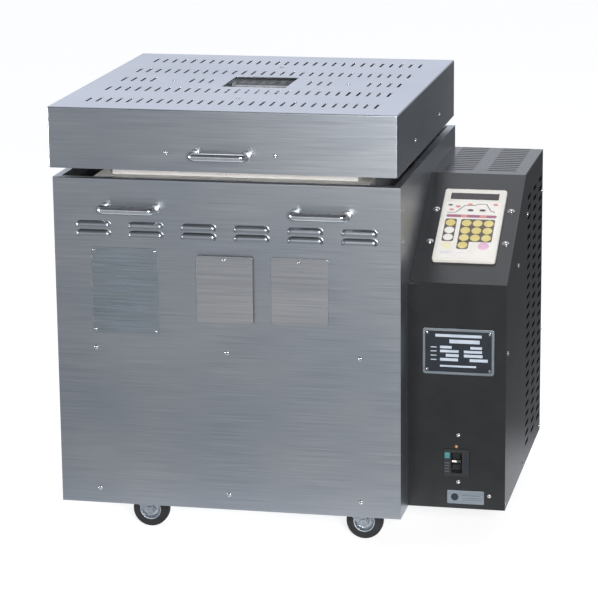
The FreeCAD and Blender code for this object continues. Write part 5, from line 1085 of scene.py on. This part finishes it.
# %% [markdown]
# ## Firebricks
# The chamber is dry-laid insulating brick: four walls in a pinwheel bond, a floor and the
# lid's lining. The CAD solids already hold the element grooves and the bores, so the bricks
# are taken from them: each triangle goes to the brick that it belongs to, and each brick is
# drawn in by a seventh of a millimetre. With worn edges, the joints then show as fine lines.
# The joint of the top course that shows below the lid is slid to where the real one lies.

# %% Where each brick lies
THICK, WHOLE, COURSE = 65.0, 230.0, 114.0
JOINT = 0.15
CLOSE = 0.01


def in_a_row(start, run, whole_first, backwards=False):
    """The two bricks of a run, as (low, high) pairs along it."""
    cut = WHOLE if whole_first else run - WHOLE
    ends = [(0.0, cut), (cut, run)]
    return [(start - high, start - low) if backwards else (start + low, start + high)
            for low, high in ends]


def wall_boxes(low, high):
    """Pinwheel bond: each wall starts beside one corner and runs over the next."""
    levels = low[2] + np.r_[0, THICK + COURSE * np.arange(4)]
    run_x, run_y = high[0] - low[0] - THICK, high[1] - low[1] - THICK
    boxes = []
    for course, z in enumerate(zip(levels, levels[1:])):
        odd = course % 2 == 1
        boxes += [(x, (low[1], low[1] + THICK), z) for x in in_a_row(low[0] + THICK, run_x, odd)]
        boxes += [(x, (high[1] - THICK, high[1]), z)
                  for x in in_a_row(high[0] - THICK, run_x, odd, True)]
        boxes += [((high[0] - THICK, high[0]), y, z)
                  for y in in_a_row(low[1] + THICK, run_y, odd)]
        boxes += [((low[0], low[0] + THICK), y, z)
                  for y in in_a_row(high[1] - THICK, run_y, odd, True)]
    return np.array(boxes)


def layer_boxes(low, high, rows):
    """A flat layer of rows across, whole brick first in every other row."""
    depth = (high[1] - low[1]) / rows
    return np.array([(x, (low[1] + depth * row, low[1] + depth * (row + 1)), (low[2], high[2]))
                     for row in range(rows)
                     for x in in_a_row(low[0], high[0] - low[0], row % 2 == 1)])


# %% One shell for each brick


def brick_blocks(node, boxes, moved_joint=None):
    """The CAD node's triangles, sorted by the brick that holds the point just inside them, and
    each brick's outer faces moved in by half a joint. moved_joint slides one joint along x."""
    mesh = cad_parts[node].data
    mesh.calc_loop_triangles()
    corners = np.empty(len(mesh.vertices) * 3)
    mesh.vertices.foreach_get("co", corners)
    index = np.empty(len(mesh.loop_triangles) * 3, int)
    mesh.loop_triangles.foreach_get("vertices", index)
    points = ((corners.reshape(-1, 3) - origin) * 1000)[index].reshape(-1, 3, 3)
    across = np.cross(points[:, 1] - points[:, 0], points[:, 2] - points[:, 0])
    across /= np.maximum(np.linalg.norm(across, axis=1, keepdims=True), 1e-9)
    inside = (points.mean(axis=1) - 0.2 * across)[:, None]
    held = ((inside > boxes[None, :, :, 0]) & (inside < boxes[None, :, :, 1])).all(axis=2)
    brick = held.argmax(axis=1)
    print(node, "triangles", len(points), "in no brick", int((~held.any(axis=1)).sum()))
    if moved_joint:
        found, new, box_low, box_high = moved_joint
        in_course = ((inside > box_low) & (inside < box_high)).all(axis=2)
        at_joint = in_course & (np.abs(points[:, :, 0] - found) < CLOSE)
        points[:, :, 0] = np.where(at_joint, new, points[:, :, 0])
        boxes = boxes.copy()
        touched = ((boxes[:, :, 0] > box_low - 1) & (boxes[:, :, 1] < box_high + 1)).all(axis=1)
        boxes[touched, 0] = np.where(np.abs(boxes[touched, 0] - found) < CLOSE, new,
                                     boxes[touched, 0])
    low, high = boxes[brick][:, None, :, 0], boxes[brick][:, None, :, 1]
    points = points + JOINT * (np.abs(points - low) < CLOSE)
    points = points - JOINT * (np.abs(points - high) < CLOSE)
    return [(points.reshape(-1, 3), np.arange(len(points) * 3).reshape(-1, 3), 0)]


wall_low, wall_high = box_of("wall_bricks")
top_front_joint = (wall_low[0] + THICK + WHOLE, wall_high[0] - WHOLE,
                   np.array([wall_low[0] + THICK, wall_low[1], wall_high[2] - COURSE]),
                   np.array([wall_high[0], wall_low[1] + THICK, wall_high[2]]))
lining = {"wall_bricks": ("kiln", wall_boxes(wall_low, wall_high), top_front_joint),
          "floor_bricks": ("kiln", layer_boxes(*box_of("floor_bricks"), 3), None),
          "lid_bricks": ("lid", layer_boxes(*box_of("lid_bricks"), 2), None)}
for node, (body, boxes, moved_joint) in lining.items():
    piece("laid_" + node, brick_blocks(node, boxes, moved_joint), [firebrick], body,
          [node], sharp=40, edge=0.8, merge_flat=True)

# %% [markdown]
# ## What stays as the CAD made it
# The rest keeps its solids. Sheet parts and machined parts get small rounded edges, because
# a bright line along an edge is what makes it look real. Modifiers do that and leave the
# solid's own mesh as it is. Parts inside the kiln get a finish only.

# %% Finishes of the CAD nodes
SOFTENED = {"left_panel": (steel_wall, 0.3), "right_panel": (steel_wall, 0.3),
            "rear_panel": (steel_wall, 0.3), "base_frame": (dark_steel, 0.4),
            "frame_uprights": (dark_steel, 0.4), "caster_plates": (zinc_steel, 0.4),
            "control_chassis": (black_enamel, 0.25), "hinge_brackets": (zinc_steel, 0.5),
            "lid_hinge_arms": (zinc_steel, 0.5), "hinge_pins": (bright_screw, 0.4),
            "lid_tray": (tray_steel, 0.25), "damper_plate": (tray_steel, 0.25)}
PLAIN = {"inner_casing": tray_steel, "floor_insulation": fibre, "wall_insulation": fibre,
         "lid_blanket": fibre, "vent_sleeve": porcelain, "element_coils": nichrome,
         "element_leads": nichrome, "lead_bushings": porcelain, "thermocouple": porcelain,
         "sight_tubes": porcelain, "contactor": black_plastic, "cable_gland": black_plastic}
for node, (finish, width) in SOFTENED.items():
    soften(node, finish, width)
for node, finish in PLAIN.items():
    soften(node, finish, 0)
print("finished CAD nodes:", len(finished))
print("without a finish:", [name for name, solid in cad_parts.items()
                            if not solid.hide_render and name not in finished])

# %% [markdown]
# ## Stage, light and camera
# Steel shows what it mirrors, so the room matters more than the lamps. As in the studio of the
# photograph, the wall behind the kiln is bright, the room before it is dark from the horizon
# up, and the floor is brightest close to the kiln and darkest behind and to its right. The
# camera itself sees a plain white room and floor, with the kiln's faint shadow.

# %% Floor
# Brightness of the floor: far in front, close in front, and shares of it in other places.
# Each changes between two places, in metres.
GLOW = {"far": 0.48, "close": 0.95, "behind": 0.34, "left": 0.72, "right": 0.3}
GLOW_EDGES = {"close": (-0.62, -0.40), "behind": (0.2, 0.6), "left": (-0.9, 0.25),
              "right": (0.25, 0.6)}


def graded(tree, value, start, end, at_start, at_end):
    """A value that goes smoothly from one level to another between two places."""
    return add_node(tree, "ShaderNodeMapRange",
                    {"interpolation_type": "SMOOTHSTEP", "From Min": start, "From Max": end,
                     "To Min": at_start, "To Max": at_end}, {"Value": value}).outputs["Result"]


def combined(tree, operation, first, second):
    """Two values joined by a sum, a product or the like."""
    return add_node(tree, "ShaderNodeMath", {"operation": operation},
                    {0: first, 1: second}).outputs[0]


def studio_floor():
    """A floor 24 m wide. What the steel sees of it has its own glow, by where it lies."""
    mesh = bpy.data.meshes.new("studio_floor")
    reach = 12.0
    mesh.from_pydata([(-reach, -reach, 0), (reach, -reach, 0), (reach, reach, 0),
                      (-reach, reach, 0)], [], [(0, 1, 2, 3)])
    floor = bpy.data.objects.new("studio_floor", mesh)
    bpy.context.scene.collection.objects.link(floor)
    material, tree, shader = new_finish("studio_floor", Roughness=0.8)
    tree.nodes.remove(shader)
    where = add_node(tree, "ShaderNodeTexCoord").outputs["Object"]
    place = add_node(tree, "ShaderNodeSeparateXYZ", None, {"Vector": where})
    near = graded(tree, place.outputs["Y"], *GLOW_EDGES["close"], GLOW["far"], GLOW["close"])
    behind = graded(tree, place.outputs["Y"], *GLOW_EDGES["behind"], 1.0, GLOW["behind"])
    across = graded(tree, place.outputs["X"], *GLOW_EDGES["left"], GLOW["left"], 1.0)
    sideways = graded(tree, place.outputs["X"], *GLOW_EDGES["right"], 1.0, GLOW["right"])
    light = combined(tree, "MULTIPLY", near, behind)
    light = combined(tree, "MULTIPLY", light, combined(tree, "MULTIPLY", across, sideways))
    steel_sees = add_node(tree, "ShaderNodeEmission", {"Color": (0.95, 0.98, 1.04, 1)},
                          {"Strength": light})
    seen = add_node(tree, "ShaderNodeBsdfDiffuse", {"Color": (0.5, 0.5, 0.51, 1)})
    glow = add_node(tree, "ShaderNodeEmission", {"Color": (1, 1, 1, 1), "Strength": 0.78})
    white = add_node(tree, "ShaderNodeAddShader", None, {0: seen.outputs[0], 1: glow.outputs[0]})
    path = add_node(tree, "ShaderNodeLightPath")
    mixed = add_node(tree, "ShaderNodeMixShader", None,
                     {0: path.outputs["Is Camera Ray"], 1: steel_sees.outputs[0],
                      2: white.outputs[0]})
    output = [node for node in tree.nodes if node.type == "OUTPUT_MATERIAL"][0]
    tree.links.new(mixed.outputs[0], output.inputs["Surface"])
    mesh.materials.append(material)


studio_floor()

# %% Room
# Brightness of the walls behind and in front and of the horizon, and the right side's share.
# Each changes between two heights or slants of the unit direction.
ROOM = {"back": 0.9, "front": 0.12, "horizon": 0.8, "right": 0.5}
ROOM_EDGES = {"front": (0.08, 0.3), "back": (-0.15, 0.2), "right": (-0.02, 0.3)}


def studio_room():
    """A world whose strength depends on the direction: bright behind, dark in front above the
    horizon, and darker to the right. Camera and transmission rays see plain white."""
    world = bpy.data.worlds.new("studio_room")
    bpy.context.scene.world = world
    world.use_nodes = True
    tree = world.node_tree
    direction = add_node(tree, "ShaderNodeTexCoord").outputs["Generated"]
    axis = add_node(tree, "ShaderNodeSeparateXYZ", None, {"Vector": direction})
    low_front = graded(tree, axis.outputs["Z"], *ROOM_EDGES["front"], ROOM["horizon"],
                       ROOM["front"])
    back = graded(tree, axis.outputs["Y"], *ROOM_EDGES["back"], 0.0, ROOM["back"])
    wall = combined(tree, "MAXIMUM", low_front, back)
    side = graded(tree, axis.outputs["X"], *ROOM_EDGES["right"], 1.0, ROOM["right"])
    strength_by_side = combined(tree, "MULTIPLY", wall, side)
    path = add_node(tree, "ShaderNodeLightPath")
    straight = combined(tree, "MAXIMUM", path.outputs["Is Camera Ray"],
                        path.outputs["Is Transmission Ray"])
    strength = add_node(tree, "ShaderNodeMix", {"data_type": "FLOAT", 3: 1.0},
                        {0: straight, 2: strength_by_side})
    tint = add_node(tree, "ShaderNodeMix", {"data_type": "RGBA", 6: (0.93, 0.97, 1.06, 1),
                    7: (1, 1, 1, 1)}, {0: straight})
    background = tree.nodes["Background"]
    tree.links.new(tint.outputs[2], background.inputs["Color"])
    tree.links.new(strength.outputs[0], background.inputs["Strength"])


studio_room()

# %% Softboxes


def softbox(name, place, target, width, energy, tint):
    """A square lamp that faces a target."""
    lamp_data = bpy.data.lights.new(name, "AREA")
    lamp_data.shape, lamp_data.size, lamp_data.energy = "SQUARE", width, energy
    lamp_data.color = tint
    box = bpy.data.objects.new(name, lamp_data)
    bpy.context.scene.collection.objects.link(box)
    box.location = place
    away = box.location - Vector(target)
    box.rotation_euler = away.to_track_quat("Z", "Y").to_euler()
    return box


# The fill stands beside the camera, so that it reaches the bricks in the gap below the lid.
# The small window far to the left lights only the ends of louvres and handles.
softbox("front_fill", (1.4, -4.1, 1.5), (0, -0.2, 0.6), 0.7, 165, (1, 0.99, 0.98))
softbox("left_window", (-3.0, -0.45, 0.4), (0, -0.2, 0.5), 0.6, 40, (1, 0.99, 0.97))
softbox("top_softbox", (0.2, 0.9, 3.4), (0, 0, 0.6), 2.2, 14, (0.95, 0.97, 1))

# %% [markdown]
# ### Camera
# The camera was solved from the casing's corners in the photograph: it stands 4.2 m in front,
# a metre to the right, 1.5 m up and looks down 14 degrees through a long lens. Its focal
# length and the point it looks at are in the photograph's pixels, and a small shift puts that
# point where it lies in the picture.

# %% Camera
YAW, PITCH_DOWN, ROLL = 0.212846544, 0.23959262, 0.0104097424
CAMERA_AT = (1023.041, -4177.796, 1499.579)
PHOTO = 598
FOCAL_PIXELS = 2612.61
CENTRE_PIXEL = (295.284, 294.083)


def aim():
    """Turns level axes by the yaw, pitch and roll: ahead, right and down of the camera."""
    ahead = np.array([-np.sin(YAW), np.cos(YAW), 0])
    right = np.array([np.cos(YAW), np.sin(YAW), 0])
    down = np.array([0, 0, -1.0])
    ahead, down = (ahead * np.cos(PITCH_DOWN) + down * np.sin(PITCH_DOWN),
                   -ahead * np.sin(PITCH_DOWN) + down * np.cos(PITCH_DOWN))
    right, down = (right * np.cos(ROLL) + down * np.sin(ROLL),
                   -right * np.sin(ROLL) + down * np.cos(ROLL))
    return right, -down, -ahead


camera = bpy.data.objects.new("camera", bpy.data.cameras.new("camera"))
bpy.context.scene.collection.objects.link(camera)
bpy.context.scene.camera = camera
camera.data.sensor_width = 36.0
camera.data.lens = FOCAL_PIXELS / PHOTO * camera.data.sensor_width
camera.data.shift_x = (PHOTO / 2 - CENTRE_PIXEL[0]) / PHOTO
camera.data.shift_y = (CENTRE_PIXEL[1] - PHOTO / 2) / PHOTO
camera.data.clip_end = 60
turned_axes = np.eye(4)
turned_axes[:3, :3] = np.array(aim()).T
turned_axes[:3, 3] = metres(CAMERA_AT)
camera.matrix_world = Matrix(turned_axes.tolist())
bpy.context.scene.view_settings.view_transform = "Standard"
print("camera at", metres(CAMERA_AT).round(3))
